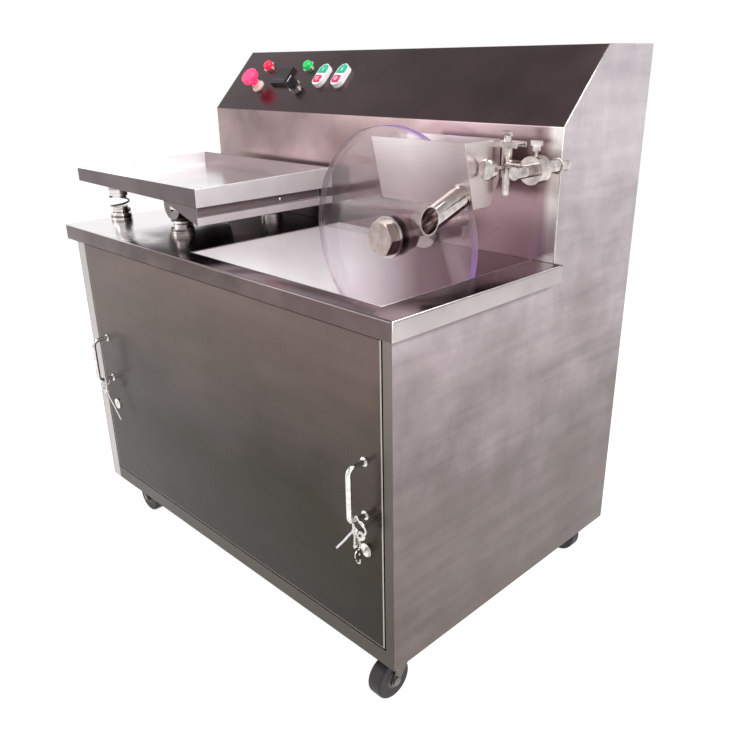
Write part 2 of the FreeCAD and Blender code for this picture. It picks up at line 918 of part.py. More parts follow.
# Front panel: a folded pan that lifts off forwards
panSheet = box(
    "pan_block", ("-panelLeft", "panelRight"), (frontFace, f"{frontFace} + panelDepth"),
    (up("panelBottomZ"), up("panelTopZ")),
)
panHollow = box(
    "pan_hollow", ("-panelLeft + panelSheet", "panelRight - panelSheet"),
    (f"{frontFace} + panelSheet", f"{frontFace} + panelDepth + 1"),
    (up("panelBottomZ + panelSheet"), up("panelTopZ - panelSheet")),
)
lockSpots = (("left", "lockLeftX", -1), ("right", "lockRightX", 1))
lockHoles = [
    cylinder(
        f"lock_hole_{side}", "lockBarrel/2 + lockHoleGap", "y", (x, f"{frontFace} - 1", up("lockZ")),
        "panelSheet + 2",
    )
    for side, x, turn in lockSpots
]
node("front_panel", cut("front_panel", panSheet, panHollow, *lockHoles))


def wireHandle(side, x):
    # A wire bent into a D: two legs, two quarter bends and the bar, with a welded disc at each foot.
    radius = "handleWire/2"
    barY = f"({frontFace} - handleReach)"
    parts = []
    for name, z, turn in (("top", "handleTopZ", 1), ("low", "handleTopZ - handleSpacing", -1)):
        parts.append(cylinder(
            f"{side}_{name}_leg", radius, "y", (x, f"{barY} + handleBend", up(z)), "handleReach - handleBend",
        ))
        parts.append(cylinder(
            f"{side}_{name}_foot", "handleFoot/2", "y", (x, f"{frontFace} - handleFootThick", up(z)),
            "handleFootThick",
        ))
        bend = doc.addObject("Part::Torus", f"{side}_{name}_bend")
        bind(bend, "Radius1", "handleBend")
        bind(bend, "Radius2", radius)
        bend.Angle3 = 90
        middle = up(f"{z} - {turn}*handleBend")
        quarter = FreeCAD.Rotation(FreeCAD.Vector(0, 1, 0), 90)
        spin = FreeCAD.Rotation(FreeCAD.Vector(1, 0, 0), 180 if turn > 0 else -90)
        bend.Placement = FreeCAD.Placement(FreeCAD.Vector(), spin.multiply(quarter))
        place(bend, x, f"{barY} + handleBend", middle)
        parts.append(bend)
    parts.append(cylinder(
        f"{side}_bar", radius, "z", (x, barY, up("handleTopZ - handleSpacing + handleBend")),
        "handleSpacing - 2*handleBend",
    ))
    return fuse(f"{side}_handle", *parts)


node(
    "panel_handles",
    group("panel_handles", wireHandle("left", "handleLeftX"), wireHandle("right", "handleRightX")),
)

# Cam locks: housings fixed in the panel, plugs that turn in them and carry the cams
housings = []
camFront = f"({frameFront} + camGap)"
for side, x, turn in lockSpots:
    bezel = cylinder(
        f"{side}_lock_bezel", "lockBezel/2", "y", (x, f"{frontFace} - lockBezelThick", up("lockZ")),
        "lockBezelThick",
    )
    barrelLength = f"{camFront} - camGap - {frontFace} + lockBezelThick"
    barrel = cylinder(
        f"{side}_lock_barrel", "lockBarrel/2", "y", (x, f"{frontFace} - lockBezelThick", up("lockZ")),
        barrelLength,
    )
    bore = cylinder(
        f"{side}_lock_bore", "lockPlug/2 + turnGap", "y",
        (x, f"{frontFace} - lockBezelThick - 1", up("lockZ")), f"{barrelLength} + 2",
    )
    housings.append(cut(f"{side}_lock_housing", fuse(f"{side}_lock_solid", bezel, barrel), bore))
node("lock_housings", group("lock_housings", *housings))

for side, x, turn in lockSpots:
    plugStart = f"({frontFace} - lockBezelThick - lockPlugProud)"
    plug = cylinder(
        f"{side}_plug", "lockPlug/2", "y", (x, plugStart, up("lockZ")),
        f"{camFront} + camThick - {plugStart}",
    )
    cam = box(
        f"{side}_cam", (f"{x} - camWide/2", f"{x} + camWide/2"), (camFront, f"{camFront} + camThick"),
        (up("lockZ - camLength"), up("lockZ + camWide/2")),
    )
    nutPart = hexagon(
        f"{side}_cam_nut", "lockNut", "y", (x, f"{camFront} + camThick", up("lockZ")), "lockNutThick",
    )
    keySlot = box(
        f"{side}_key_slot", (f"{x} - keySlotWide/2", f"{x} + keySlotWide/2"), (
            f"{plugStart} - 1", f"{plugStart} + keySlotDeep",
        ),
        (up("lockZ - keySlotHigh/2"), up("lockZ + keySlotHigh/2")),
    )
    node(f"{side}_cam_lock", cut(f"{side}_cam_lock", fuse(f"{side}_cam_solid", plug, cam, nutPart), keySlot))

# Trough: folded sheet, open at the top, slotted for the wheel at the left end and along the bottom
leanFront = "(troughFrontBottomY - troughFrontTopY)/(troughTopZ - troughBottomZ)"
leanBack = "(troughBackY - troughBackBottomY)/(troughKneeZ - troughBottomZ)"
frontSkin = f"troughSheet/cos(atan({leanFront}))"
backSkin = f"troughSheet/cos(atan({leanBack}))"
troughOutline = [
    (at("troughFrontTopY"), up("troughTopZ")),
    (at("troughFrontBottomY"), up("troughBottomZ")),
    (at("troughBackBottomY"), up("troughBottomZ")),
    (at("troughBackY"), up("troughKneeZ")),
    (at("troughBackY"), up("troughTopZ")),
]


def insideTrough(name, floor, start, length):
    # The hollow of the trough above a given level.
    above = f"(troughTopZ + 5 - {floor})"
    frontAt = f"troughFrontTopY + {frontSkin} + (troughTopZ - {floor})*{leanFront}"
    kneeY = "troughBackY - troughSheet"
    outline = [(at(f"{frontAt} - {above}*{leanFront}"), up("troughTopZ + 5")), (at(frontAt), up(floor))]
    if floor == "(troughBottomZ + troughSheet)":
        outline.append((at(f"troughBackBottomY + troughSheet*{leanBack} - {backSkin}"), up(floor)))
        outline.append((at(kneeY), up(f"troughKneeZ + ({backSkin} - troughSheet)/{leanBack}")))
    else:
        outline.append((at(kneeY), up(floor)))
    outline.append((at(kneeY), up("troughTopZ + 5")))
    return prism(name, "YZ", outline, start, length)


troughBlock = prism("trough_block", "YZ", troughOutline, "troughLeftX", "troughRightX - troughLeftX")
troughHollow = insideTrough(
    "trough_hollow", "(troughBottomZ + troughSheet)", "troughLeftX + troughSheet",
    "troughRightX - troughLeftX - 2*troughSheet",
)
troughLeftTop = insideTrough("trough_left_top", "scraperTopZ", "troughLeftX - 1", "troughSheet + 2")
slotY = (at("wheelFrontY - slotGap"), at("wheelFrontY + wheelThick + slotGap"))
slotBottom = box(
    "slot_bottom", ("troughLeftX - 1", "slotEndX"), slotY,
    (up("troughBottomZ - 1"), up("troughBottomZ + troughSheet + 1")),
)
slotLeft = box(
    "slot_left", ("troughLeftX - 1", "troughLeftX + troughSheet + 1"), slotY,
    (up("troughBottomZ - 1"), up("troughTopZ + 1")),
)

# Spout: a tube that leaves the trough's front and slopes down to an obliquely cut mouth
spoutDrop = "atan((spoutRootZ - spoutMouthZ)/(spoutRootY - spoutMouthY))"


def spoutCylinder(name, radius, fromRoot, length):
    item = doc.addObject("Part::Cylinder", name)
    item.Placement = FreeCAD.Placement(FreeCAD.Vector(), FreeCAD.Rotation(FreeCAD.Vector(1, 0, 0), 1))
    bind(item, ".Placement.Rotation.Angle", f"{spoutDrop} - 90deg")
    bind(item, "Radius", radius)
    bind(item, "Height", length)
    y = f"spoutRootY - ({fromRoot})*cos({spoutDrop})"
    z = f"spoutRootZ - ({fromRoot})*sin({spoutDrop})"
    place(item, "spoutX", at(y), up(z))
    return item


spoutReach = "(spoutRootY - spoutMouthY + 3*spoutRadius)"
spoutRun = f"({spoutReach} + 2*spoutRadius)"
spoutTube = spoutCylinder("spout_tube", "spoutRadius", spoutReach, spoutRun)
spoutCollarPart = spoutCylinder("spout_collar", "spoutCollar", "spoutCollarLength", "4*spoutCollarLength")
spoutBore = spoutCylinder("spout_bore", "spoutRadius - spoutWall", f"{spoutReach} + 1", f"{spoutRun} + 2")
panelLow = "(troughBottomZ - 60)"
panelHigh = "(troughTopZ + 60)"
behindPanel = prism(
    "behind_panel", "YZ",
    [(at(f"troughFrontTopY + (troughTopZ - {panelLow})*{leanFront}"), up(panelLow)),
     (at("troughBackY + 60"), up(panelLow)),
     (at("troughBackY + 60"), up(panelHigh)),
     (at(f"troughFrontTopY + (troughTopZ - {panelHigh})*{leanFront}"), up(panelHigh))],
    "spoutX - 2*spoutCollar", "4*spoutCollar",
)
mouthLean = "(spoutLeanRun/spoutLeanRise)"
mouthReach = "(4*spoutRadius)"
beyondMouth = prism(
    "beyond_mouth", "YZ",
    [(at(f"spoutMouthY - {mouthReach}*{mouthLean}"), up(f"spoutMouthZ - {mouthReach}")),
     (at(f"spoutMouthY + {mouthReach}*{mouthLean}"), up(f"spoutMouthZ + {mouthReach}")),
     (at(f"spoutMouthY - 2*{mouthReach}"), up(f"spoutMouthZ + {mouthReach}")),
     (at(f"spoutMouthY - 2*{mouthReach}"), up(f"spoutMouthZ - {mouthReach}"))],
    "spoutX - 2*spoutCollar", "4*spoutCollar",
)
troughSpoutHole = spoutCylinder(
    "trough_spout_hole", "spoutRadius - spoutWall", "spoutRadius", "2*spoutRadius",
)
node("trough", cut("trough", troughBlock, troughHollow, troughLeftTop, slotBottom, slotLeft, troughSpoutHole))
node(
    "spout",
    cut("spout", fuse("spout_solid", spoutTube, spoutCollarPart), spoutBore, behindPanel, beyondMouth),
)

# Arm: the fixed rod, and the collar, cross bar and sleeve that turn on it
node("arm_rod", cylinder(
    "arm_rod", "armRodRadius", "y", ("armRodX", at("armRodFrontY"), up("armRodZ")),
    "armRodRearY - armRodFrontY",
))
collarStart = "collarY - collarWide/2"
collarPart = cylinder(
    "collar_ring", "collarRadius", "y", ("armRodX", at(collarStart), up("armRodZ")), "collarWide",
)
crossPart = cylinder(
    "cross_bar", "crossRadius", "x", ("sleeveX", at("crossY"), up("armRodZ + crossRise")),
    "armRodX - sleeveX",
)
sleeveTop = "(hangerBottomZ - hangGap)"
sleevePart = cylinder(
    "sleeve_tube", "sleeveRadius", "z", ("sleeveX", at("sleeveY"), up("sleeveBottomZ")),
    f"{sleeveTop} - sleeveBottomZ",
)
collarBore = cylinder(
    "collar_bore", "armRodRadius + runningGap", "y",
    ("armRodX", at(f"{collarStart} - 20"), up("armRodZ")), "collarWide + 40",
)
sleeveBore = cylinder(
    "sleeve_bore", "postRadius + runningGap", "z", ("sleeveX", at("sleeveY"), up("sleeveBottomZ - 1")),
    f"{sleeveTop} - sleeveBottomZ + 2",
)
collarScrewHole = cylinder(
    "collar_screw_hole", "screwRadius + screwHoleGap", "z", ("armRodX", at("collarY"), up("armRodZ")),
    "2*collarRadius",
)
knobHole = cylinder(
    "knob_hole", "screwRadius + screwHoleGap", "y",
    ("sleeveX", at("sleeveY - 2*sleeveRadius"), up("armRodZ")), "2*sleeveRadius",
)
node("clamp_arm", cut(
    "clamp_arm", fuse("arm_solid", collarPart, crossPart, sleevePart), collarBore, sleeveBore,
    collarScrewHole, knobHole,
))


def thumbScrew(label, x, y, tip, seat):
    # Threaded shank, round neck and a flat wing to turn it by; tip and seat are heights.
    shank = cylinder(f"{label}_shank", "screwRadius", "z", (x, y, up(tip)), f"({seat}) - ({tip}) + 1")
    neck = cylinder(f"{label}_neck", "screwNeckRadius", "z", (x, y, up(seat)), "screwNeckLength")
    wingLow = f"({seat}) + screwNeckLength"
    wing = box(
        f"{label}_wing", (f"{x} - wingWide/2", f"{x} + wingWide/2"), (
            f"{y} - wingThick/2", f"{y} + wingThick/2",
        ),
        (up(wingLow), up(f"{wingLow} + wingHigh")),
    )
    wingRounded = rounded(
        f"{label}_wing_rounded", wing, "wingThick/2 - 0.5",
        lambda edge, middle: abs(edge.Length - number("wingHigh")) < 0.01
        and abs(middle.z - number(up(f"{wingLow} + wingHigh/2"))) < 0.01,
    )
    return node(label, fuse(label, shank, neck, wingRounded))


thumbScrew(
    "collar_screw", "armRodX", at("collarY"), "armRodZ + armRodRadius + screwTipGap",
    "armRodZ + collarRadius + screwStand",
)

knobShaft = cylinder(
    "knob_shaft", "screwRadius", "y", ("sleeveX", at("knobFaceY + 1"), up("armRodZ")),
    "sleeveY - postRadius - screwTipGap - knobFaceY - 1",
)
knobHead = cylinder("knob_head", "knobRadius", "y", ("sleeveX", at("knobFaceY"), up("armRodZ")), "knobThick")
knobHeadEdged = rounded(
    "knob_head_edged", knobHead, "knobEdge", lambda edge, middle: edge.Closed, "Part::Chamfer",
)
node("sleeve_knob", fuse("sleeve_knob", knobShaft, knobHeadEdged))

# Post and hanger that lift the trough
hangerTop = "(hangerBottomZ + hangerHigh)"
webLow = f"({hangerTop} - hangerSheet)"
postPart = cylinder(
    "post_bar", "postRadius", "z", ("sleeveX", at("sleeveY"), up("postBottomZ")), f"{webLow} - postBottomZ",
)
postThread = cylinder(
    "post_thread", "screwRadius + fitGap", "z", (
        "sleeveX", at("sleeveY"), up(f"{webLow} - hangerScrewDepth"),
    ),
    "hangerScrewDepth + 1",
)
node("height_post", cut("height_post", postPart, postThread))
hangerBlock = box(
    "hanger_block", ("troughRightX", "hangerRightX"), (at("hangerFrontY"), at("hangerBackY")),
    (up("hangerBottomZ"), up(hangerTop)),
)
hangerChannel = box(
    "hanger_channel", ("troughRightX - 1", "hangerRightX + 1"),
    (at("hangerFrontY + hangerSheet"), at("hangerBackY - hangerSheet")), (
        up("hangerBottomZ - 1"), up(webLow),
    ),
)
hangerHole = cylinder(
    "hanger_hole", "screwRadius + fitGap", "z", ("sleeveX", at("sleeveY"), up("hangerBottomZ")),
    "2*hangerHigh",
)
node("trough_hanger", cut("trough_hanger", hangerBlock, hangerChannel, hangerHole))
thumbScrew("hanger_screw", "sleeveX", at("sleeveY"), f"{webLow} - hangerScrewDepth + screwTipGap", hangerTop)

# Vibrating tray: an open pan whose floor falls towards the basin and whose rim rises to the rear
trayFall = "((trayFloorLeftZ - trayFloorRightZ)/(trayRightX - trayLeftX))"


def trayFloor(x):
    return f"(trayFloorRightZ + (trayRightX - ({x}))*{trayFall})"


trayAbove = "(trayRearTopZ + 1)"


def trayOutline(name, inset, top, start, length):
    # The end walls stand square to the sloping floor, so they lean with it.
    left, right = f"trayLeftX + {inset}", f"trayRightX - {inset}"
    low = [(x, f"({trayFloor(x)} + {inset})") for x in (left, right)]
    high = [(f"{x} + ({top} - {z})*{trayFall}", top) for x, z in reversed(low)]
    return prism(name, "XZ", [(x, up(z)) for x, z in low + high], start, length)


trayFilled = trayOutline("tray_filled", "0", trayAbove, at("trayFrontY"), "trayBackY - trayFrontY")
trayHollow = trayOutline(
    "tray_hollow", "traySheet", f"({trayAbove} + 1)", at("trayFrontY + traySheet"),
    "trayBackY - trayFrontY - 2*traySheet",
)
trayRim = prism(
    "tray_rim", "YZ",
    [(at("trayFrontY"), deckTop), (at("trayBackY"), deckTop),
     (at("trayBackY"), up("trayRearTopZ")), (at("trayFrontY"), up("trayFrontTopZ"))],
    "trayLeftX - traySheet", "trayRightX - trayLeftX + 3*traySheet",
)
node("vibrating_tray", cut("vibrating_tray", common("tray_outside", trayFilled, trayRim), trayHollow))

# Apron: folded down at the tray's right end, over the edge of the basin
stripLowZ = "(trayFloorRightZ - apronStripHigh)"
webX = "(trayRightX - apronRecess)"
apronFold = prism(
    "apron_fold", "XZ",
    [(f"{webX} - traySheet", up(trayFloor(f"{webX} - traySheet"))),
     (webX, up(trayFloor(webX))), (webX, up(stripLowZ)),
     ("trayRightX", up(stripLowZ)), ("trayRightX", up("apronLowZ")), (
         "trayRightX - traySheet", up("apronLowZ"),
     ),
     ("trayRightX - traySheet", up(f"{stripLowZ} - traySheet")),
     (f"{webX} - traySheet", up(f"{stripLowZ} - traySheet"))],
    at("trayFrontY"), "trayBackY - trayFrontY",
)
gusset = prism(
    "apron_gusset", "XZ",
    [
        ("gussetX", up(trayFloor("gussetX"))), ("trayRightX", up("trayFloorRightZ")),
        ("trayRightX", up("apronLowZ")),
    ],
    at("trayFrontY"), "traySheet",
)
rearClosure = prism(
    "apron_rear", "XZ",
    [(f"{webX} - 1", up(trayFloor(f"{webX} - 1"))),
     ("trayRightX", up("trayFloorRightZ")), ("trayRightX", up(stripLowZ)),
     (f"{webX} - 1", up(stripLowZ))],
    at("trayBackY - apronRearClosure"), "apronRearClosure",
)
node("tray_apron", fuse("tray_apron", apronFold, gusset, rearClosure))

# Spring feet: fixed lower spigots, upper cups on the tray, and the coils between them
feet = [(f"foot_{side}_{end}", x, at(y)) for side, x in (("left", "footLeftX"), ("right", "footRightX"))
        for end, y in (("front", "footFrontY"), ("rear", "footRearY"))]
lowerFeet = []
upperCups = []
coils = []


def springCoil():
    # Round wire swept along a smooth curve through the points of the coil.
    springHigh = number("upperCupBottomZ - footBaseThick - springWire")
    steps = int(round(number("springTurns*springPointsPerTurn")))
    curve = Part.BSplineCurve()
    radius = FreeCAD.Vector(number("springRadius"), 0, 0)
    points = []
    for step in range(steps + 1):
        turn = FreeCAD.Rotation(FreeCAD.Vector(0, 0, 1), 360*number("springTurns")*step/steps)
        points.append(turn.multVec(radius) + FreeCAD.Vector(0, 0, springHigh*step/steps))
    curve.interpolate(points)
    spine = curve.toShape()
    section = Part.makeCircle(number("springWire/2"), curve.value(0), spine.tangentAt(0))
    return Part.Wire([spine]).makePipeShell([Part.Wire([section])], True, False)


for name, x, y in feet:
    base = cylinder(name + "_base", "footBaseRadius", "z", (x, y, deckTop), "footBaseThick")
    spigot = cylinder(
        name + "_spigot", "spigotRadius", "z", (x, y, up("footBaseThick/2")),
        "lowerSpigotTopZ - footBaseThick/2",
    )
    lowerFeet.append(fuse(name + "_lower", base, spigot))
    cup = cylinder(
        name + "_cup", "upperCupRadius", "z", (x, y, up("upperCupBottomZ")), "trayRearTopZ - upperCupBottomZ",
    )
    drop = cylinder(
        name + "_drop", "spigotRadius", "z", (x, y, up("upperCupBottomZ - upperSpigotDrop")),
        "upperSpigotDrop + 1",
    )
    upperCups.append(cut(name + "_upper", fuse(name + "_upper_solid", cup, drop), trayFilled))
    coil = doc.addObject("Part::Feature", name + "_spring")
    coil.Shape = springCoil()
    place(coil, x, y, up("footBaseThick + springWire/2"))
    coils.append(coil)
node("lower_spring_seats", group("lower_spring_seats", *lowerFeet))
node("upper_spring_cups", group("upper_spring_cups", *upperCups))
node("tray_springs", group("tray_springs", *coils))

# Vibration motor bolted under the tray
canStart = at("vibratorFrontY + vibratorCapLength")
canLength = "vibratorLength - 2*vibratorCapLength"
vibratorParts = [
    cylinder(
        "vibrator_can", "vibratorRadius", "y", ("vibratorX", at("vibratorFrontY + 1"), up("vibratorZ")),
        "vibratorLength - 2",
    ),
    cylinder(
        "vibrator_cap_front", "vibratorCap", "y", ("vibratorX", at("vibratorFrontY"), up("vibratorZ")),
        "vibratorCapLength",
    ),
    cylinder(
        "vibrator_cap_rear", "vibratorCap", "y",
        ("vibratorX", at("vibratorFrontY + vibratorLength - vibratorCapLength"), up("vibratorZ")),
        "vibratorCapLength",
    ),
    box("vibrator_foot", ("vibratorX - vibratorFootWide/2", "vibratorX + vibratorFootWide/2"),
        (canStart, f"{canStart} + {canLength}"), (up("vibratorZ"), up("trayFloorRightZ"))),
    box("vibrator_plate", ("vibratorX - vibratorPlateWide/2", "vibratorX + vibratorPlateWide/2"),
        (canStart, f"{canStart} + {canLength}"),
        (up("trayFloorRightZ - vibratorPlateThick"), up("trayFloorLeftZ"))),
]
node("vibration_motor", cut("vibration_motor", fuse("vibrator_solid", *vibratorParts), trayFilled))

# Pilot lamps
bezels = []
for name, x in (("red", "redLampX"), ("green", "greenLampX")):
    ring = slopeCylinder(f"{name}_bezel_ring", "lampBezelRadius", x, "lampUp", "0", "lampBezelThick")
    barrel = slopeCylinder(
        f"{name}_bezel_barrel", "controlBarrel", x, "lampUp", "-controlBarrelDepth", "lampBezelThick/2",
    )
    lockRing = slopeCylinder(
        f"{name}_lock_ring", "controlNut", x, "lampUp", "-consoleSheet - controlNutThick", "-consoleSheet",
    )
    bezels.append(fuse(f"{name}_bezel", ring, barrel, lockRing))
    lens = slopeCylinder(
        f"{name}_lens_body", "lampRadius", x, "lampUp", "lampBezelThick", "lampBezelThick + lampHigh",
    )
    doc.recompute()
    faceOut = lens.Placement.Rotation.multVec(FreeCAD.Vector(0, 0, 1))
    outer = lens.Placement.Base + faceOut*number("lampHigh")
    node(f"{name}_lamp_lens", rounded(
        f"{name}_lamp_lens", lens, "lampCrown",
        lambda edge, middle: edge.Closed and abs((middle - outer).dot(faceOut)) < 0.01,
    ))

# Emergency stop: fixed bezel and neck, mushroom head on a sliding stem
stopBezel = slopeCylinder("stop_bezel", "stopBezelRadius", "stopX", "stopUp", "0", "stopBezelThick")
stopNeck = slopeCylinder("stop_neck", "stopNeckRadius", "stopX", "stopUp", "stopBezelThick/2", "stopNeckHigh")
stopBarrel = slopeCylinder(
    "stop_barrel", "controlBarrel", "stopX", "stopUp", "-controlBarrelDepth", "stopBezelThick/2",
)
stopLockRing = slopeCylinder(
    "stop_lock_ring", "controlNut", "stopX", "stopUp", "-consoleSheet - controlNutThick", "-consoleSheet",
)
stopWell = slopeCylinder(
    "stop_well", "stopStemRadius + pressGap", "stopX", "stopUp", "-stopTravel - pressGap", "stopNeckHigh + 1",
)
node(
    "emergency_stop_base",
    cut("emergency_stop_base", fuse("stop_solid", stopBezel, stopNeck, stopBarrel, stopLockRing), stopWell),
)
stopStem = slopeCylinder("stop_stem", "stopStemRadius", "stopX", "stopUp", "0", "stopHeadStand + 1")
stopHead = slopeCylinder(
    "stop_head", "stopHeadRadius", "stopX", "stopUp", "stopHeadStand", "stopHeadStand + stopHeadThick",
)
stopHeadRounded = rounded("stop_head_rounded", stopHead, "stopHeadEdge", lambda edge, middle: edge.Closed)
node("emergency_stop_button", fuse("emergency_stop_button", stopStem, stopHeadRounded))

# Temperature controller
gaugeBezel = slopeBox("gauge_bezel", "gaugeX", "gaugeSide", "gaugeUp", "gaugeSide", "0", "gaugeBezelThick")
gaugeBodyPart = slopeBox(
    "gauge_body", "gaugeX", "gaugeBody", "gaugeUp", "gaugeBody", "-gaugeDepth", "gaugeBezelThick/2",
)
gaugeWindowCut = slopeBox(
    "gauge_window", "gaugeX", "gaugeWindow", "gaugeUp + gaugeWindowHigh/3", "gaugeWindowHigh",
    "gaugeBezelThick - gaugeWindowDeep", "gaugeBezelThick + 1",
)
node(
    "temperature_controller",
    cut("temperature_controller", fuse("gauge_solid", gaugeBezel, gaugeBodyPart), gaugeWindowCut),
)

# Selector switch
selectorBezel = slopeCylinder(
    "selector_bezel", "selectorBezelRadius", "selectorX", "selectorUp", "0", "selectorBezelThick",
)
selectorBarrel = slopeCylinder(
    "selector_barrel", "controlBarrel", "selectorX", "selectorUp", "-controlBarrelDepth",
    "selectorBezelThick/2",
)
selectorLockRing = slopeCylinder(
    "selector_lock_ring", "controlNut", "selectorX", "selectorUp",
    "-consoleSheet - controlNutThick", "-consoleSheet",
)
bezels.append(fuse("selector_base", selectorBezel, selectorBarrel, selectorLockRing))
node("control_bezels", group("control_bezels", *bezels))
selectorFoot = "(selectorBezelThick + pressGap)"
selectorDisc = slopeCylinder(
    "selector_disc", "selectorRadius", "selectorX", "selectorUp", selectorFoot,
    f"{selectorFoot} + selectorHigh",
)
selectorGrip = slopeBox(
    "selector_grip", "selectorX", "gripWide", "selectorUp", "2*selectorRadius", selectorFoot,
    f"{selectorFoot} + selectorHigh + gripHigh",
)
node("selector_knob", fuse("selector_knob", selectorDisc, selectorGrip))

# Twin push buttons: a long rounded housing with a flush start button above a proud stop button
switchBodies = []
for side, x in (("left", "switchLeftX"), ("right", "switchRightX")):
    middle = slopeBox(
        f"{side}_switch_middle", x, "switchWide", "switchUp", "switchLong - switchWide", "0", "switchHigh",
    )
    ends = [
        slopeCylinder(
            f"{side}_switch_end_{index}", "switchWide/2", x, f"switchUp + {turn}*(switchLong - switchWide)/2",
            "0", "switchHigh",
        )
        for index, turn in enumerate((-1, 1))
    ]
    barrel = slopeCylinder(
        f"{side}_switch_barrel", "controlBarrel", x, "switchUp", "-controlBarrelDepth", "1",
    )
    lockRing = slopeCylinder(
        f"{side}_switch_lock_ring", "controlNut", x, "switchUp", "-consoleSheet - controlNutThick",
        "-consoleSheet",
    )
    wells = []
    for key, turn, proud in (("start", 1, "startProud"), ("stop", -1, "haltProud")):
        along = f"switchUp + {turn}*switchButtonUp"
        buttonFoot = "(switchHigh - buttonDeep)"
        wells.append(slopeBox(
            f"{side}_{key}_well", x, "switchButtonWide + 2*pressGap", along, "switchButtonLong + 2*pressGap",
            f"{buttonFoot} - switchTravel - pressGap", "switchHigh + 1",
        ))
        button = slopeBox(
            f"{side}_{key}_block", x, "switchButtonWide", along, "switchButtonLong", buttonFoot,
            f"switchHigh + {proud}",
        )
        doc.recompute()
        outward = button.Placement.Rotation.multVec(FreeCAD.Vector(0, 0, 1))
        node(f"{side}_{key}_button", rounded(
            f"{side}_{key}_button", button, "switchButtonEdge",
            lambda edge, middle: abs(abs(edge.tangentAt(edge.FirstParameter).dot(outward)) - 1) < 0.001,
        ))
    switchBodies.append(cut(
        f"{side}_switch_body", fuse(f"{side}_switch_solid", middle, *ends, barrel, lockRing), *wells,
    ))
node("switch_housings", group("switch_housings", *switchBodies))

# Electrical board on spacers inside the left side panel
boardX = f"(-{innerHalf} + boardGap)"
board = box(
    "board_plate", (boardX, f"{boardX} + boardThick"), (at("boardFrontY"), at("boardFrontY + boardWide")),
    (up("boardBottomZ"), up("boardBottomZ + boardHigh")),
)
boardParts = [board]
for across in ("spacerInset", "boardWide - spacerInset"):
    for high in ("spacerInset", "boardHigh - spacerInset"):
        spot = (f"-{innerHalf}", at(f"boardFrontY + {across}"), up(f"boardBottomZ + {high}"))
        boardParts.append(cylinder(f"spacer_{len(boardParts)}", "spacerRadius", "x", spot, "boardGap + 1"))
for index in range(int(number("contactorCount"))):
    low = f"boardFrontY + 2*spacerInset + {index}*contactorStep"
    boardParts.append(box(
        f"contactor_{index}", (f"{boardX} + 1", f"{boardX} + boardThick + contactorDeep"), (
            at(low), at(f"{low} + contactorWide"),
        ),
        (up("boardBottomZ + boardHigh/2"), up("boardBottomZ + boardHigh/2 + contactorHigh")),
    ))
boardParts.append(box(
    "terminal_row", (f"{boardX} + 1", f"{boardX} + boardThick + terminalDeep"),
    (at("boardFrontY + 2*spacerInset"), at("boardFrontY + boardWide - 2*spacerInset")),
    (up("boardBottomZ + 2*spacerInset"), up("boardBottomZ + 2*spacerInset + terminalHigh")),
))
node("electrical_board", fuse("electrical_board", *boardParts))

# Cable gland for the mains lead
glandStart = at("bodyDepth - panelSheet - glandTail")
glandParts = [
    cylinder(
        "gland_body", "glandRadius", "y", ("glandX", glandStart, up("glandZ")),
        "glandTail + panelSheet + glandReach",
    ),
    hexagon("gland_hex", "glandHexFlats", "y", ("glandX", at("bodyDepth"), up("glandZ")), "glandHexThick"),
    hexagon(
        "gland_nut", "glandHexFlats", "y",
        ("glandX", at("bodyDepth - panelSheet - glandHexThick"), up("glandZ")), "glandHexThick",
    ),
]
glandChannel = cylinder(
    "gland_bore", "glandBore", "y", ("glandX", f"{glandStart} - 1", up("glandZ")),
    "glandTail + panelSheet + glandReach + 2",
)
node("cable_gland", cut("cable_gland", fuse("gland_solid", *glandParts), glandChannel))

# Casters: plate and ball race fixed to the frame, fork that swivels, wheel that rolls
# One caster is drawn round its own swivel axis, then set at each corner.
sideways["shift"] = "0"
plateLow = "(casterHeight - casterPlateThick)"
raceLow = f"({plateLow} - raceThick)"
forkTop = f"({raceLow} - swivelGap)"
forkUnder = f"({forkTop} - forkTopThick)"
axleAt = ("-casterTrail", "casterWheelRadius")
plate = box(
    "caster_plate", ("-casterPlateX/2", "casterPlateX/2"), ("-casterPlateY/2", "casterPlateY/2"), (
        plateLow, "casterHeight",
    ),
)
race = cylinder("caster_race", "raceRadius", "z", ("0", "0", raceLow), "raceThick + 1")
kingBore = cylinder(
    "king_bore", "kingpinRadius + runningGap", "z", ("0", "0", f"{raceLow} - 1"),
    "raceThick + casterPlateThick + 2",
)
boltHoles = [
    cylinder(f"plate_bolt_hole_{across}_{along}", "boltHole", "z",
             (f"{across - 0.5}*boltSpacingX", f"{along - 0.5}*boltSpacingY", f"{plateLow} - 1"),
             "casterPlateThick + 2")
    for across in (0, 1) for along in (0, 1)
]
casterTop = cut("caster_top", fuse("caster_top_solid", plate, race), kingBore, *boltHoles)

forkParts = [
    cylinder("fork_top", "raceRadius", "z", ("0", "0", forkUnder), "forkTopThick"),
    cylinder("kingpin", "kingpinRadius", "z", ("0", "0", forkUnder), "forkTopThick + swivelGap + raceThick"),
]
for side, start in (("left", "-forkGap/2 - forkLeg"), ("right", "forkGap/2")):
    forkParts.append(prism(
        f"fork_{side}_leg", "YZ",
        [("-forkLegTop/2", f"{forkUnder} + forkTopThick/2"),
         ("-casterTrail - forkEyeRadius", "casterWheelRadius"),
         ("-casterTrail + forkEyeRadius", "casterWheelRadius"),
         ("forkLegTop/2", f"{forkUnder} + forkTopThick/2")],
        start, "forkLeg",
    ))
    forkParts.append(cylinder(f"fork_{side}_eye", "forkEyeRadius", "x", (start, *axleAt), "forkLeg"))
axleStart = "-forkGap/2 - forkLeg - axleHeadThick"
forkParts.append(cylinder(
    "axle", "axleRadius", "x", (axleStart, *axleAt), "forkGap + 2*forkLeg + 2*axleHeadThick",
))
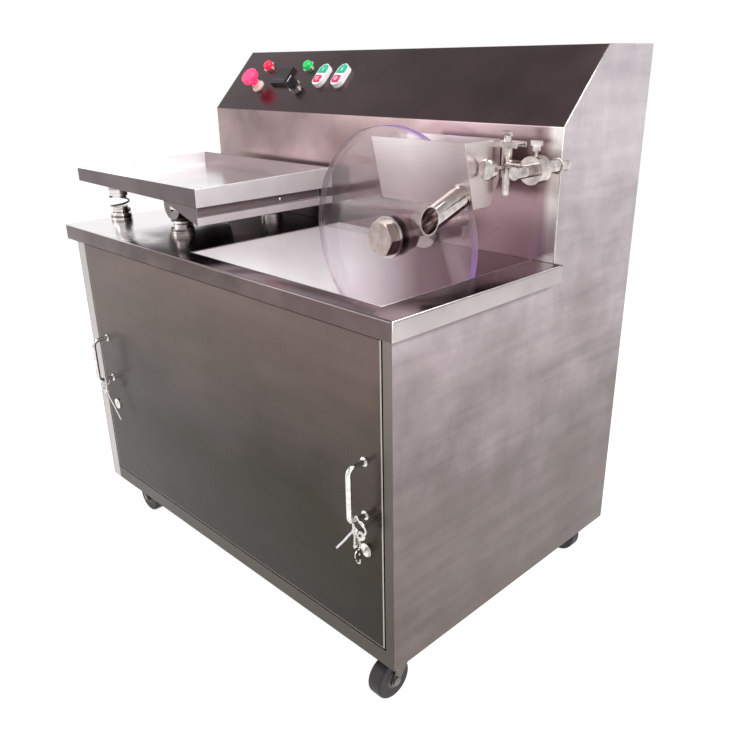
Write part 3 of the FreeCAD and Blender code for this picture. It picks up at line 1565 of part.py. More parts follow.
forkParts.append(cylinder("axle_head", "axleHeadRadius", "x", (axleStart, *axleAt), "axleHeadThick"))
forkParts.append(cylinder(
    "axle_nut", "axleHeadRadius", "x", ("forkGap/2 + forkLeg", *axleAt), "axleHeadThick",
))
fork = fuse("caster_fork", *forkParts)

tyre = cylinder("tyre", "casterWheelRadius", "x", ("-casterWheelWide/2", *axleAt), "casterWheelWide")
tyreRounded = rounded("tyre_rounded", tyre, "casterWheelEdge", lambda edge, middle: edge.Closed)
axleBore = cylinder(
    "axle_bore", "axleRadius + runningGap", "x", ("-casterWheelWide/2 - 1", *axleAt), "casterWheelWide + 2",
)
casterWheel = cut("caster_wheel", tyreRounded, axleBore)


def atCorner(name, item, x, y, turn="0"):
    moved = group(name, item)
    moved.Placement = FreeCAD.Placement(FreeCAD.Vector(), FreeCAD.Rotation(FreeCAD.Vector(0, 0, 1), 1))
    bind(moved, ".Placement.Rotation.Angle", f"{turn}*1deg")
    place(moved, f"{x} + {middleShift}", y, "0")
    return moved


casterTurns = {"left_front": "casterTurnLeftFront", "left_rear": "casterTurnLeftRear",
               "right_front": "casterTurnRightFront", "right_rear": "casterTurnRightRear"}
plates = []
for side, end, x, y in corners:
    label = f"{'left' if side < 0 else 'right'}_{end}"
    plates.append(atCorner(label + "_caster_top", casterTop, x, y))
    node(f"{label}_caster_fork", atCorner(f"{label}_caster_fork", fork, x, y, casterTurns[label]))
    node(f"{label}_caster_wheel", atCorner(f"{label}_caster_wheel", casterWheel, x, y, casterTurns[label]))
node("caster_plates", group("caster_plates", *plates))

# Check every feature, then write one file for each piece
doc.recompute()
faults = [item.Name for item in doc.Objects if {"Invalid", "Error"} & set(item.State)]
faults += [
    item.Label for item in nodes
    if item.Shape.isNull() or not item.Shape.isValid() or not item.Shape.Solids
]
if faults:
    raise ValueError(f"features that failed: {faults}")
os.makedirs("parts", exist_ok=True)
whole = FreeCAD.BoundBox()
for item in nodes:
    item.Shape.exportStep(f"parts/{item.Label}.step")
    whole.add(item.Shape.optimalBoundingBox(False, False))
print(f"{len(nodes)} pieces, {whole.XLength:.1f} x {whole.YLength:.1f} x {whole.ZLength:.1f} mm")
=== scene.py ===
import json
import math

import bmesh
import bpy
from mathutils import Matrix, Quaternion, Vector


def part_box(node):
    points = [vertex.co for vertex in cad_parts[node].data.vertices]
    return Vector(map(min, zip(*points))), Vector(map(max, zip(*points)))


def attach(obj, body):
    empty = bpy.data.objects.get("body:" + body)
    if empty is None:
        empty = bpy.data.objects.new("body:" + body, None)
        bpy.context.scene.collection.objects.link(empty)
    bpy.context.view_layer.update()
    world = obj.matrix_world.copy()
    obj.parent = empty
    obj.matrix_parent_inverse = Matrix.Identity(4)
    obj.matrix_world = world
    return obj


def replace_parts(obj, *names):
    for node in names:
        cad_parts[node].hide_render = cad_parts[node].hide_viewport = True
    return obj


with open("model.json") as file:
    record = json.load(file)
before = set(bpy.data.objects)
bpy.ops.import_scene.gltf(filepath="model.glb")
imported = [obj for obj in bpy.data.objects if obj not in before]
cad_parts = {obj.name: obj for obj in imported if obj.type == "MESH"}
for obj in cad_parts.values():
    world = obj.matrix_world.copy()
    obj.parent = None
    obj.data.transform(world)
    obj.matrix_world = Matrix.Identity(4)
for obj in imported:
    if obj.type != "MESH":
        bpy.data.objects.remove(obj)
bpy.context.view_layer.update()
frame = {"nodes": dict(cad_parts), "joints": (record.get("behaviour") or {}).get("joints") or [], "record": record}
cadNodes = frame["nodes"]
print("frame loaded:", len(cadNodes), "nodes")

mm = 0.001
bodyOf = {node: body for body, members in frame["record"]["behaviour"]["bodies"].items() for node in members}

# Places on the machine in mm: x from the worktop's middle, y back from its front edge, z up from its top
worktopLow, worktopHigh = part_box("worktop")
deckOrigin = Vector(((worktopLow.x + worktopHigh.x)/2, worktopLow.y, worktopHigh.z))


def deck(x, y, z):
    return deckOrigin + Vector((x, y, z))*mm


# ---- Materials

def linear(hexColour):
    channels = [int(hexColour[start:start + 2], 16)/255 for start in (1, 3, 5)]
    return tuple(c/12.92 if c <= 0.04045 else ((c + 0.055)/1.055)**2.4 for c in channels) + (1.0,)


def addNode(tree, kind, settings=None, links=None):
    node = tree.nodes.new(kind)
    for name, value in (settings or {}).items():
        if isinstance(name, str) and hasattr(node, name):
            setattr(node, name, value)
        else:
            node.inputs[name].default_value = value
    for name, source in (links or {}).items():
        tree.links.new(source, node.inputs[name])
    return node


def startMaterial(name, values):
    material = bpy.data.materials.new(name)
    material.use_nodes = True
    tree = material.node_tree
    shader = tree.nodes["Principled BSDF"]
    for socket, value in values.items():
        shader.inputs[socket].default_value = value
    place = addNode(tree, "ShaderNodeTexCoord").outputs["Object"]
    return material, tree, shader, place


def noiseAt(tree, place, sizeMm, detail=3.0, roughness=0.5):
    return addNode(
        tree, "ShaderNodeTexNoise", {"Scale": 1/(sizeMm*mm), "Detail": detail, "Roughness": roughness}, {"Vector": place},
    ).outputs["Fac"]


def math2(tree, operation, first, second):
    # First is a socket, second a socket or a number
    settings = {"operation": operation}
    links = {0: first}
    if isinstance(second, (int, float)):
        settings[1] = second
    else:
        links[1] = second
    return addNode(tree, "ShaderNodeMath", settings, links).outputs[0]


def swing(tree, source, amount, middle=0.0):
    # Noise about 0.5 turned into a swing of that amount about a middle value
    centred = math2(tree, "SUBTRACT", source, 0.5)
    return math2(tree, "ADD", math2(tree, "MULTIPLY", centred, amount), middle)


def toneRamp(tree, factor, tones):
    ramp = addNode(tree, "ShaderNodeValToRGB", {}, {"Fac": factor})
    stops = ramp.color_ramp.elements
    while len(stops) < len(tones):
        stops.new(0.5)
    for stop, (position, colour) in zip(stops, tones):
        stop.position = position
        stop.color = linear(colour)
    return ramp.outputs["Color"]


def mixColour(tree, blend, factor, first, second):
    node = addNode(tree, "ShaderNodeMix", {"data_type": "RGBA", "blend_type": blend})
    for index, value in ((0, factor), (6, first), (7, second)):
        if isinstance(value, (int, float, tuple)):
            node.inputs[index].default_value = value
        else:
            tree.links.new(value, node.inputs[index])
    return node.outputs[2]


def bumpFrom(tree, height, depthMm, strength, under=None):
    links = {"Height": height}
    if under is not None:
        links["Normal"] = under
    return addNode(tree, "ShaderNodeBump", {"Strength": strength, "Distance": depthMm*mm}, links).outputs["Normal"]


def acrossSheet(tree, place, low, high, lean):
    # Runs from 0 to 1 over the piece's own box, in the direction that the lean weights give
    size = [max(span, 1*mm) for span in high - low]
    offset = addNode(tree, "ShaderNodeVectorMath", {"operation": "SUBTRACT", 1: low}, {0: place}).outputs[0]
    share = addNode(tree, "ShaderNodeVectorMath", {"operation": "DIVIDE", 1: size}, {0: offset}).outputs[0]
    return addNode(tree, "ShaderNodeVectorMath", {"operation": "DOT_PRODUCT", 1: lean}, {0: share}).outputs["Value"]


def facingTone(tree, place, tones):
    # One tone for each way that a sheet faces, because each side of the room gives it another brightness
    out = addNode(tree, "ShaderNodeNewGeometry").outputs["True Normal"]
    parts = addNode(tree, "ShaderNodeSeparateXYZ", {}, {0: out}).outputs
    clouds = noiseAt(tree, place, tones.get("cloudMm", 110), 4.0, 0.55)
    colour = toneRamp(tree, clouds, tones["top"])
    for side, axis, sign in (("front", "Y", -1), ("right", "X", 1), ("left", "X", -1), ("bottom", "Z", -1)):
        if side in tones:
            share = math2(tree, "MULTIPLY", parts[axis], sign)
            isSide = addNode(tree, "ShaderNodeMapRange", {1: 0.45, 2: 0.75, 3: 0.0, 4: 1.0}, {0: share}).outputs[0]
            colour = mixColour(tree, "MIX", isSide, colour, toneRamp(tree, clouds, tones[side]))
    return colour


def sideShare(tree, axis, amount):
    # Rises from 0 to the amount on the faces that look along that axis; a minus before the letter turns it round
    out = addNode(tree, "ShaderNodeNewGeometry").outputs["True Normal"]
    part = addNode(tree, "ShaderNodeSeparateXYZ", {}, {0: out}).outputs[axis[-1]]
    if axis[0] == "-":
        part = math2(tree, "MULTIPLY", part, -1)
    return addNode(tree, "ShaderNodeMapRange", {1: 0.45, 2: 0.75, 3: 0.0, 4: amount}, {0: part}).outputs[0]


def withMargin(tree, place, colour, margin):
    # Another tone over part of a sheet; each limit is an axis, the mm where the part starts and the mm where it is full
    fromDeck = addNode(tree, "ShaderNodeVectorMath", {"operation": "SUBTRACT", 1: deckOrigin}, {0: place}).outputs[0]
    parts = addNode(tree, "ShaderNodeSeparateXYZ", {}, {0: fromDeck}).outputs
    share = sideShare(tree, margin["side"], 1.0) if "side" in margin else None
    for axis, start, full in margin["limits"]:
        limit = addNode(tree, "ShaderNodeMapRange", {1: start*mm, 2: full*mm, 3: 0.0, 4: 1.0}, {0: parts[axis]}).outputs[0]
        share = limit if share is None else math2(tree, "MULTIPLY", share, limit)
    return mixColour(tree, "MIX", share, colour, linear(margin["tone"]))


def grainLines(tree, place, longAxes, spacingMm, lengthMm):
    scale = [1/(lengthMm*mm) if letter in longAxes else 1/(spacingMm*mm) for letter in "xyz"]
    stretched = addNode(tree, "ShaderNodeMapping", {"Scale": scale}, {"Vector": place}).outputs[0]
    return addNode(tree, "ShaderNodeTexNoise", {"Scale": 1.0, "Detail": 4.0, "Roughness": 0.6}, {"Vector": stretched}).outputs["Fac"]


def brushedSheet(name, low, high, look):
    # 304 stainless sheet, belt brushed: broad soft reflections, hair lines along the grain, cloudy wiped patches.
    # Real hair lines are 0.2 mm apart, too fine to show, so they are drawn 1.6 mm apart.
    material, tree, shader, place = startMaterial(name, {"Metallic": 1.0})
    # The tones run from dark to light along the look's lean, darker towards the bottom: painted shade and painted
    # reflection, with random clouds over it
    along = acrossSheet(tree, place, low, high, look["lean"])
    clouds = noiseAt(tree, place, look.get("cloudMm", 150), 4.0, 0.55)
    factor = math2(tree, "ADD", along, swing(tree, clouds, look.get("cloudiness", 0.5), look.get("start", 0.0)))
    colour = toneRamp(tree, factor, look["tones"])
    for margin in look.get("margins", ()):
        colour = withMargin(tree, place, colour, margin)
    grain = grainLines(tree, place, look["grain"], 1.6, 90)
    shade = swing(tree, grain, 0.22, 1.0)
    for wipes in look.get("wipes", ()):
        # Marks of old cleaning cloths, each a few centimetres wide and longer than a hand
        marks = grainLines(tree, place, wipes["along"], wipes["wideMm"], wipes["longMm"])
        shade = math2(tree, "MULTIPLY", shade, swing(tree, marks, wipes["strength"], 1.0))
    grey = addNode(tree, "ShaderNodeCombineColor", {}, {0: shade, 1: shade, 2: shade}).outputs[0]
    tree.links.new(mixColour(tree, "MULTIPLY", 1.0, colour, grey), shader.inputs["Base Color"])
    wiped = noiseAt(tree, place, 60, 3.0)
    rough = math2(tree, "ADD", swing(tree, wiped, 0.16, look["roughness"]), swing(tree, grain, 0.10))
    tree.links.new(rough, shader.inputs["Roughness"])
    ripple = bumpFrom(tree, noiseAt(tree, place, look.get("rippleMm", 180), 1.0), look.get("rippleDepth", 0.5), 0.35)
    tree.links.new(bumpFrom(tree, grain, 0.05, 0.25, ripple), shader.inputs["Normal"])
    return material


def polishedSheet(name, look):
    # 304 stainless sheet, buffed: clear reflections, a trace of the buffing lines and finger haze
    material, tree, shader, place = startMaterial(name, {"Metallic": 1.0})
    # On the worktop the tones along X, near white at the left and darker to the right, and a specular tint that dims to
    # the right are painted reflection
    if "along" in look:
        low, high = look["box"]
        clouds = noiseAt(tree, place, 90, 4.0)
        factor = math2(tree, "ADD", acrossSheet(tree, place, low, high, (1, 0, 0)), swing(tree, clouds, 0.2))
        colour = toneRamp(tree, factor, look["along"])
        out = addNode(tree, "ShaderNodeNewGeometry").outputs["True Normal"]
        upward = addNode(tree, "ShaderNodeSeparateXYZ", {}, {0: out}).outputs["Z"]
        isTop = addNode(tree, "ShaderNodeMapRange", {1: 0.4, 2: 0.75, 3: 0.0, 4: 1.0}, {0: upward}).outputs[0]
        colour = mixColour(tree, "MIX", isTop, facingTone(tree, place, look["facing"]), colour)
        glance = addNode(tree, "ShaderNodeMapRange", {1: 0.28, 2: 0.4, 3: 1.0, 4: look["glance"]}, {0: factor}).outputs[0]
        tree.links.new(glance, shader.inputs["Specular Tint"])
    elif "facing" in look:
        colour = facingTone(tree, place, look["facing"])
    else:
        colour = toneRamp(tree, noiseAt(tree, place, 110, 4.0), look["tones"])
    for margin in look.get("margins", ()):
        colour = withMargin(tree, place, colour, margin)
    tree.links.new(colour, shader.inputs["Base Color"])
    haze = noiseAt(tree, place, 45, 5.0, 0.6)
    rough = swing(tree, haze, look.get("hazeAmount", 0.14), look["roughness"])
    if "satinRight" in look:
        rough = math2(tree, "ADD", rough, sideShare(tree, "X", look["satinRight"]))
    tree.links.new(rough, shader.inputs["Roughness"])
    lines = grainLines(tree, place, look["grain"], 1.2, 60)
    ripple = bumpFrom(tree, noiseAt(tree, place, look.get("rippleMm", 120), 1.0), look.get("rippleDepth", 0.5), 0.5)
    tree.links.new(bumpFrom(tree, lines, 0.03, look.get("lineStrength", 0.15), ripple), shader.inputs["Normal"])
    return material


def turnedBar(name, look):
    # Stainless bar and tube, turned and buffed: tight rings, near-mirror highlights
    material, tree, shader, place = startMaterial(name, {"Metallic": 1.0})
    grain = look.get("grain", "x")
    # Without bandMm the tone wanders at random; with it the bands are painted highlight and shade rings
    smearsOrLitBands = grainLines(tree, place, grain, look["bandMm"], 300) if "bandMm" in look else noiseAt(tree, place, 14, 4.0)
    colour = toneRamp(tree, smearsOrLitBands, look["tones"])
    for margin in look.get("margins", ()):
        colour = withMargin(tree, place, colour, margin)
    tree.links.new(colour, shader.inputs["Base Color"])
    rings = grainLines(tree, place, grain, 0.5, 30)
    tree.links.new(swing(tree, rings, 0.12, look["roughness"]), shader.inputs["Roughness"])
    tree.links.new(bumpFrom(tree, rings, 0.02, 0.2), shader.inputs["Normal"])
    return material


def moulded(name, look):
    # Injection-moulded plastic: even colour, spark-eroded skin about 0.3 mm across, drawn at 0.8 mm to show
    values = {"Specular IOR Level": look.get("specular", 0.5), "IOR": look.get("ior", 1.5)}
    if "glow" in look:
        values["Emission Color"] = linear(look["glow"])
        values["Emission Strength"] = look["glowStrength"]
    material, tree, shader, place = startMaterial(name, values)
    wear = noiseAt(tree, place, 9, 4.0)
    tree.links.new(toneRamp(tree, wear, look["tones"]), shader.inputs["Base Color"])
    skin = noiseAt(tree, place, 0.8, 2.0)
    tree.links.new(swing(tree, wear, 0.16, look["roughness"]), shader.inputs["Roughness"])
    tree.links.new(bumpFrom(tree, skin, look.get("skinDepth", 0.03), 0.3), shader.inputs["Normal"])
    return material


def toned(*colours):
    last = len(colours) - 1
    return [(0.3 + 0.4*index/last, colour) for index, colour in enumerate(colours)]


turnedSteel = turnedBar("Stainless bar turned and buffed", {"tones": toned("#a39894", "#e2dbd7"), "roughness": 0.1})
turnedSatin = turnedBar("Stainless casting ground satin", {"tones": toned("#a59a96", "#d9d0cc"), "roughness": 0.15})
nickelPlate = turnedBar("Zinc casting nickel plated", {"tones": toned("#c9c4bf", "#efebe7"), "roughness": 0.14, "grain": "y"})
# Its dark and bright rings, 7 mm apart, are painted shade and painted highlight of the grooves
grooveShadedBar = turnedBar("Stainless bar turned with painted groove shade", {
    "tones": [(0.36, "#5d5350"), (0.44, "#d8d0cc"), (0.56, "#f2edea"), (0.64, "#857a76")], "roughness": 0.16, "grain": "xy", "bandMm": 7})
castAluminium = turnedBar("Aluminium die cast and blasted", {"tones": toned("#6d6a68", "#8c8987"), "roughness": 0.42})
handleWire = turnedBar("Stainless wire electropolished", {"tones": toned("#c2bdb9", "#efecea"), "roughness": 0.12, "grain": "z"})
springWire = turnedBar("Spring wire oil tempered", {"tones": toned("#4a4340", "#6f6561"), "roughness": 0.3})
zincPlate = turnedBar("Pressed steel zinc plated", {"tones": toned("#55524f", "#7d7975"), "roughness": 0.38})
galvanised = turnedBar("Steel plate galvanised", {"tones": toned("#8e9292", "#b4b8b8"), "roughness": 0.42})
foldedSteel = turnedBar("Stainless sheet folded mill finish", {"tones": toned("#6f6a66", "#8d8783"), "roughness": 0.36})
weldBead = turnedBar("Stainless weld bead brushed", {"tones": toned("#9a908c", "#cfc7c4"), "roughness": 0.28})

blackNylon = moulded("Nylon moulded black", {"tones": toned("#0f0d10", "#1d1a1e"), "roughness": 0.38})
controllerBlack = moulded("ABS moulded black", {"tones": toned("#141116", "#231d26"), "roughness": 0.3})
paleHousing = moulded("Polycarbonate moulded pale grey", {"tones": toned("#e4dde0", "#f4eff0"), "roughness": 0.28})
stopNeck = moulded("Polyamide moulded blush grey", {"tones": toned("#dcb4ae", "#ecd0c8"), "roughness": 0.35})
# Its emission is a painted glow: the mushroom is no lamp
redMushroom = moulded("ABS moulded signal red", {
    "tones": toned("#d81f4f", "#ee3c6f"), "roughness": 0.3, "glow": "#ff3d74", "glowStrength": 0.6})
redCap = moulded("Polycarbonate moulded red", {"tones": toned("#c42a55", "#d8406a"), "roughness": 0.25})
greenCap = moulded("Polycarbonate moulded green", {"tones": toned("#15a079", "#2cb58f"), "roughness": 0.25})
redLens = moulded("Acrylic lens red lit", {
    "tones": toned("#d3082f", "#f0184a"), "roughness": 0.12, "glow": "#ff1f4d", "glowStrength": 0.35, "ior": 1.49})
greenLens = moulded("Acrylic lens green lit", {
    "tones": toned("#06983f", "#10b857"), "roughness": 0.12, "glow": "#12d46a", "glowStrength": 0.3, "ior": 1.49})
rubberTyre = moulded("Rubber tyre vulcanised", {"tones": toned("#0e0b0b", "#221c1b"), "roughness": 0.55, "skinDepth": 0.12})
siliconeMat = moulded("Silicone mat glass reinforced", {"tones": toned("#8a3a22", "#a34a2c"), "roughness": 0.6, "skinDepth": 0.2})
motorEnamel = moulded("Cast housing stoved enamel", {"tones": toned("#3c4448", "#4d565b"), "roughness": 0.35, "skinDepth": 0.1})
whiteTie = moulded("Nylon strap natural white", {"tones": toned("#dcd9dd", "#f6f4f7"), "roughness": 0.3})
markWhite = moulded("Printed ink white", {"tones": toned("#e8e4e6", "#f6f3f4"), "roughness": 0.4})
recessDark = moulded("Neoprene strip dark", {"tones": toned("#4d4347", "#5f5357"), "roughness": 0.45})


def clearAcrylic(name):
    # Cast acrylic sheet, laser cut: water clear through its faces, with a painted violet glow and tint in two spots of
    # its cut edge
    look = {"bodyTint": "#f0dbe7", "edgeTint": "#b78ce6", "glow": "#9a55d6", "rimStart": 194.5, "rimFull": 197.2, "rimShare": 0.5,
            "glowSpots": ((0.95, 0.0, -0.3), (0.25, 0.0, 0.97)), "glowStrength": 0.3, "cover": 0.28, "rimCover": 0.8}
    material, tree, shader, place = startMaterial(name, {
        "IOR": 1.49, "Transmission Weight": 1.0})
    low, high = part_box("moulding_wheel")
    centre = (low + high)/2
    offset = addNode(tree, "ShaderNodeVectorMath", {"operation": "SUBTRACT", 1: centre}, {0: place}).outputs[0]
    flat = addNode(tree, "ShaderNodeVectorMath", {"operation": "MULTIPLY", 1: (1, 0, 1)}, {0: offset}).outputs[0]
    reach = addNode(tree, "ShaderNodeVectorMath", {"operation": "LENGTH"}, {0: flat}).outputs["Value"]
    rim = addNode(tree, "ShaderNodeMapRange", {1: look["rimStart"]*mm, 2: look["rimFull"]*mm, 3: 0.0, 4: 1.0}, {0: reach}).outputs[0]
    scuffs = noiseAt(tree, place, 30, 5.0, 0.6)
    rough = math2(tree, "ADD", swing(tree, scuffs, 0.05, 0.04), math2(tree, "MULTIPLY", rim, 0.4))
    tree.links.new(rough, shader.inputs["Roughness"])
    toward = addNode(tree, "ShaderNodeVectorMath", {"operation": "NORMALIZE"}, {0: flat}).outputs[0]
    glow = None
    # The glow spots are painted light: the edge glows there with no lamp behind it
    for spot in look["glowSpots"]:
        near = addNode(tree, "ShaderNodeVectorMath", {"operation": "DOT_PRODUCT", 1: spot}, {0: toward}).outputs["Value"]
        share = addNode(tree, "ShaderNodeMapRange", {1: 0.86, 2: 1.0, 3: 0.04, 4: 1.0}, {0: near}).outputs[0]
        glow = share if glow is None else math2(tree, "MAXIMUM", glow, share)
    lit = math2(tree, "MULTIPLY", rim, glow)
    tint = mixColour(tree, "MIX", lit, linear(look["bodyTint"]), linear(look["edgeTint"]))
    tree.links.new(tint, shader.inputs["Base Color"])
    shader.inputs["Emission Color"].default_value = linear(look["glow"])
    tree.links.new(math2(tree, "MULTIPLY", lit, look["glowStrength"]), shader.inputs["Emission Strength"])
    solid = math2(tree, "MAXIMUM", lit, math2(tree, "MULTIPLY", rim, look["rimShare"]))
    tree.links.new(swing(tree, solid, look["rimCover"] - look["cover"], (look["cover"] + look["rimCover"])/2), shader.inputs["Alpha"])
    return material


wheelAcrylic = clearAcrylic("Acrylic sheet cast and laser cut")
print("materials ready")


# ---- Mesh helpers

def dress(item, material):
    if item.material_slots:
        for slot in item.material_slots:
            slot.material = material
    else:
        item.data.materials.append(material)


def addPiece(name, bm, material, like, body=None):
    # Like is the CAD node whose body the piece takes, unless told otherwise
    mesh = bpy.data.meshes.new(name)
    bm.normal_update()
    bm.to_mesh(mesh)
    bm.free()
    item = bpy.data.objects.new(name, mesh)
    bpy.context.scene.collection.objects.link(item)
    dress(item, material)
    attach(item, body or bodyOf[like])
    return item


def markEdges(bm, angle=32):
    for face in bm.faces:
        face.smooth = True
    for edge in bm.edges:
        edge.smooth = len(edge.link_faces) == 2 and edge.calc_face_angle(0) < math.radians(angle)


def softened(node, material, width=0.7, shortest=12):
    # A copy of a CAD sheet with its long folded and cut edges eased, as a deburred sheet has
    bm = bmesh.new()
    bm.from_mesh(cadNodes[node].data)
    bmesh.ops.remove_doubles(bm, verts=bm.verts, dist=0.002*mm)
    bmesh.ops.dissolve_limit(bm, angle_limit=math.radians(0.4), verts=bm.verts, edges=bm.edges)
    sharp = [
        edge for edge in bm.edges
        if len(edge.link_faces) == 2 and edge.calc_length() > shortest*mm and edge.calc_face_angle(0) > math.radians(30)
    ]
    bmesh.ops.bevel(
        bm, geom=sharp, offset=width*mm, offset_type="OFFSET", segments=1, profile=0.5, affect="EDGES", clamp_overlap=False,
    )
    bmesh.ops.triangulate(bm, faces=[face for face in bm.faces if len(face.verts) > 4])
    markEdges(bm)
    item = addPiece(node + "_eased", bm, material, node)
    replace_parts(item, node)
    return item


def smoothPath(points, steps=8, closed=False):
    # A curve through the points
    count = len(points)
    last = count if closed else count - 1
    path = []
    for index in range(last):
        before = points[(index - 1) % count] if closed or index > 0 else points[0]*2 - points[1]
        here, there = points[index], points[(index + 1) % count]
        after = points[(index + 2) % count] if closed or index + 2 < count else points[-1]*2 - points[-2]
        for step in range(steps):
            share = step/steps
            path.append(
                here + (there - before)*0.5*share
                + (before - here*2.5 + there*2 - after*0.5)*share**2
                + ((here - there)*1.5 + (after - before)*0.5)*share**3
            )
    if not closed:
        path.append(points[-1])
    return path


def sweep(bm, path, section, closed=False, across=Vector((0, 0, 1))):
    # Carries an outline along a path; across is the first guess for the outline's second axis
    rings = []
    count = len(path)
    side = across
    for index, point in enumerate(path):
        ahead = path[(index + 1) % count] if closed or index + 1 < count else point
        behind = path[index - 1] if closed or index else point
        forward = (ahead - behind).normalized()
        side = (side - forward*side.dot(forward)).normalized()
        other = side.cross(forward)
        rings.append([bm.verts.new(point + other*a*mm + side*b*mm) for a, b in section])
    size = len(section)
    for index in range(count if closed else count - 1):
        first, second = rings[index], rings[(index + 1) % count]
        for corner in range(size):
            following = (corner + 1) % size
            bm.faces.new((first[corner], first[following], second[following], second[corner]))
    if not closed:
        bm.faces.new(reversed(rings[0]))
        bm.faces.new(rings[-1])
    bmesh.ops.recalc_face_normals(bm, faces=bm.faces)


def roundSection(radius, sides=12):
    return [(radius*math.cos(2*math.pi*i/sides), radius*math.sin(2*math.pi*i/sides)) for i in range(sides)]


def stripSection(wide, thick):
    # A flat strap with eased corners
    a, b, c = wide/2, thick/2, thick*0.3
    return [(a - c, -b), (a, -b + c), (a, b - c), (a - c, b), (-a + c, b), (-a, b - c), (-a, -b + c), (-a + c, -b)]


def turnedShape(bm, profile, matrix, sides=32):
    # Turns a profile of (radius, height) pairs in mm round the matrix's own Z
    rings = []
    for radius, height in profile:
        if radius < 0.001:
            rings.append([bm.verts.new(matrix @ Vector((0, 0, height*mm)))])
            continue
        rings.append([
            bm.verts.new(matrix @ Vector((radius*mm*math.cos(2*math.pi*i/sides), radius*mm*math.sin(2*math.pi*i/sides), height*mm)))
            for i in range(sides)
        ])
    for first, second in zip(rings, rings[1:]):
        for i in range(sides):
            j = (i + 1) % sides
            corners = [first[i % len(first)], first[j % len(first)], second[j % len(second)], second[i % len(second)]]
            kept = [corner for index, corner in enumerate(corners) if corner not in corners[:index]]
            if len(kept) > 2:
                bm.faces.new(kept)
    for ring in (rings[0], rings[-1]):
        if len(ring) > 1:
            bm.faces.new(ring)
    bmesh.ops.recalc_face_normals(bm, faces=bm.faces)


def turnedRing(bm, profile, matrix, sides=32, squash=1.0):
    # Turns a closed profile of (radius, height) pairs in mm round the matrix's own Z; squash narrows its Y
    turns = [2*math.pi*i/sides for i in range(sides)]
    rings = [
        [bm.verts.new(matrix @ (Vector((radius*math.cos(turn), radius*squash*math.sin(turn), height))*mm)) for turn in turns]
        for radius, height in profile
    ]
    for first, second in zip(rings, rings[1:] + rings[:1]):
        for i in range(sides):
            j = (i + 1) % sides
            bm.faces.new((first[i], first[j], second[j], second[i]))
    bmesh.ops.recalc_face_normals(bm, faces=bm.faces)


def slab(bm, matrix, wide, tall, thick, corner, steps=4):
    # A flat block with round corners, standing on the matrix's own XY plane
    outline = []
    for cx, cy, start in ((1, 1, 0), (-1, 1, 90), (-1, -1, 180), (1, -1, 270)):
        for step in range(steps + 1):
            angle = math.radians(start + 90*step/steps)
            outline.append((cx*(wide/2 - corner) + corner*math.cos(angle), cy*(tall/2 - corner) + corner*math.sin(angle)))
    ease = min(thick, corner)*0.3
    rings = []
    for inset, height in ((0, 0), (0, thick - ease), (ease, thick)):
        rings.append([
            bm.verts.new(matrix @ Vector((x*(1 - 2*inset/wide)*mm, y*(1 - 2*inset/tall)*mm, height*mm))) for x, y in outline
        ])
    size = len(outline)
    for first, second in zip(rings, rings[1:]):
        for i in range(size):
            j = (i + 1) % size
            bm.faces.new((first[i], first[j], second[j], second[i]))
    bm.faces.new(reversed(rings[0]))
    bm.faces.new(rings[-1])


def facing(origin, outward, upward):
    # A matrix whose Z points outward and whose Y points upward as nearly as it can
    z = Vector(outward).normalized()
    x = Vector(upward).cross(z).normalized()
    y = z.cross(x)
    return Matrix.Translation(origin) @ Matrix((x, y, z)).transposed().to_4x4()


# ---- Cabinet sheets

# Each look's tones run dark to light along its lean, darker towards the bottom: painted shade and painted reflection
frontLook = {
    "lean": (-0.02, 0, 0.79), "start": 0.04, "grain": "z", "roughness": 0.27, "cloudiness": 0.34, "cloudMm": 230,
    "wipes": [{"along": "x", "wideMm": 45, "longMm": 260, "strength": 0.45}],
    # Margins: painted highlight lines along the panel's right, left and bottom edges
    "margins": [{"side": "-Y", "limits": [("X", 459.2, 460.6)], "tone": "#b5ada8"},
                {"side": "-Y", "limits": [("X", -446.2, -447.6)], "tone": "#a59d98"},
                {"side": "-Y", "limits": [("Z", -585.2, -586.6)], "tone": "#8a827b"}],
    "tones": [(0.0, "#272620"), (0.14, "#2f2d25"), (0.32, "#353028"), (0.5, "#4a433f"), (0.64, "#5a4f48"), (0.8, "#6a5b57")]}
frontFrameLook = {
    "lean": (-0.15, 0, 0.9), "start": 0.1, "grain": "z", "roughness": 0.3, "cloudiness": 0.3,
    "tones": [(0.0, "#4c4741"), (0.5, "#625b56"), (1.0, "#877e7a")],
    # Margin: the frame's left column, beyond x -452 mm, is lighter: a painted highlight
    "margins": [{"limits": [("X", -452, -456)], "tone": "#b9b4b2"}]}
sideLook = {
    "lean": (0, 0.08, 0.9), "grain": "z", "roughness": 0.34, "cloudiness": 0.5, "cloudMm": 120,
    "wipes": [{"along": "y", "wideMm": 24, "longMm": 300, "strength": 0.55}, {"along": "yz", "wideMm": 60, "longMm": 45, "strength": 0.35}],
    # Margin: a dark band just under the worktop lip, in front of y 409 mm: a painted shadow of the lip
    "margins": [{"limits": [("Z", -45, -31), ("Z", -29, -31), ("Y", 409, 390)], "tone": "#2f2826"}],
    "tones": [(0.0, "#69605c"), (0.28, "#7b716f"), (0.55, "#a3979a"), (0.85, "#cdc4c8")]}
rearLook = {
    "lean": (0.2, 0, 0.7), "grain": "z", "roughness": 0.36, "cloudiness": 0.4,
    "tones": [(0.0, "#857c79"), (0.5, "#a0968f"), (1.0, "#b9b0ae")]}

softened("front_panel", brushedSheet("Stainless sheet belt brushed front", *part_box("front_panel"), frontLook))
softened("front_frame", brushedSheet("Stainless sheet belt brushed frame", *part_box("front_frame"), frontFrameLook))
sideSheet = brushedSheet("Stainless sheet belt brushed side", *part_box("right_side_panel"), sideLook)
softened("right_side_panel", sideSheet)
softened("left_side_panel", brushedSheet("Stainless sheet belt brushed left side", *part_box("left_side_panel"), sideLook))
dress(cadNodes["rear_panel"], brushedSheet("Stainless sheet belt brushed rear", *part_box("rear_panel"), rearLook))
dress(cadNodes["base_frame"], foldedSteel)
dress(cadNodes["motor_shelf"], foldedSteel)


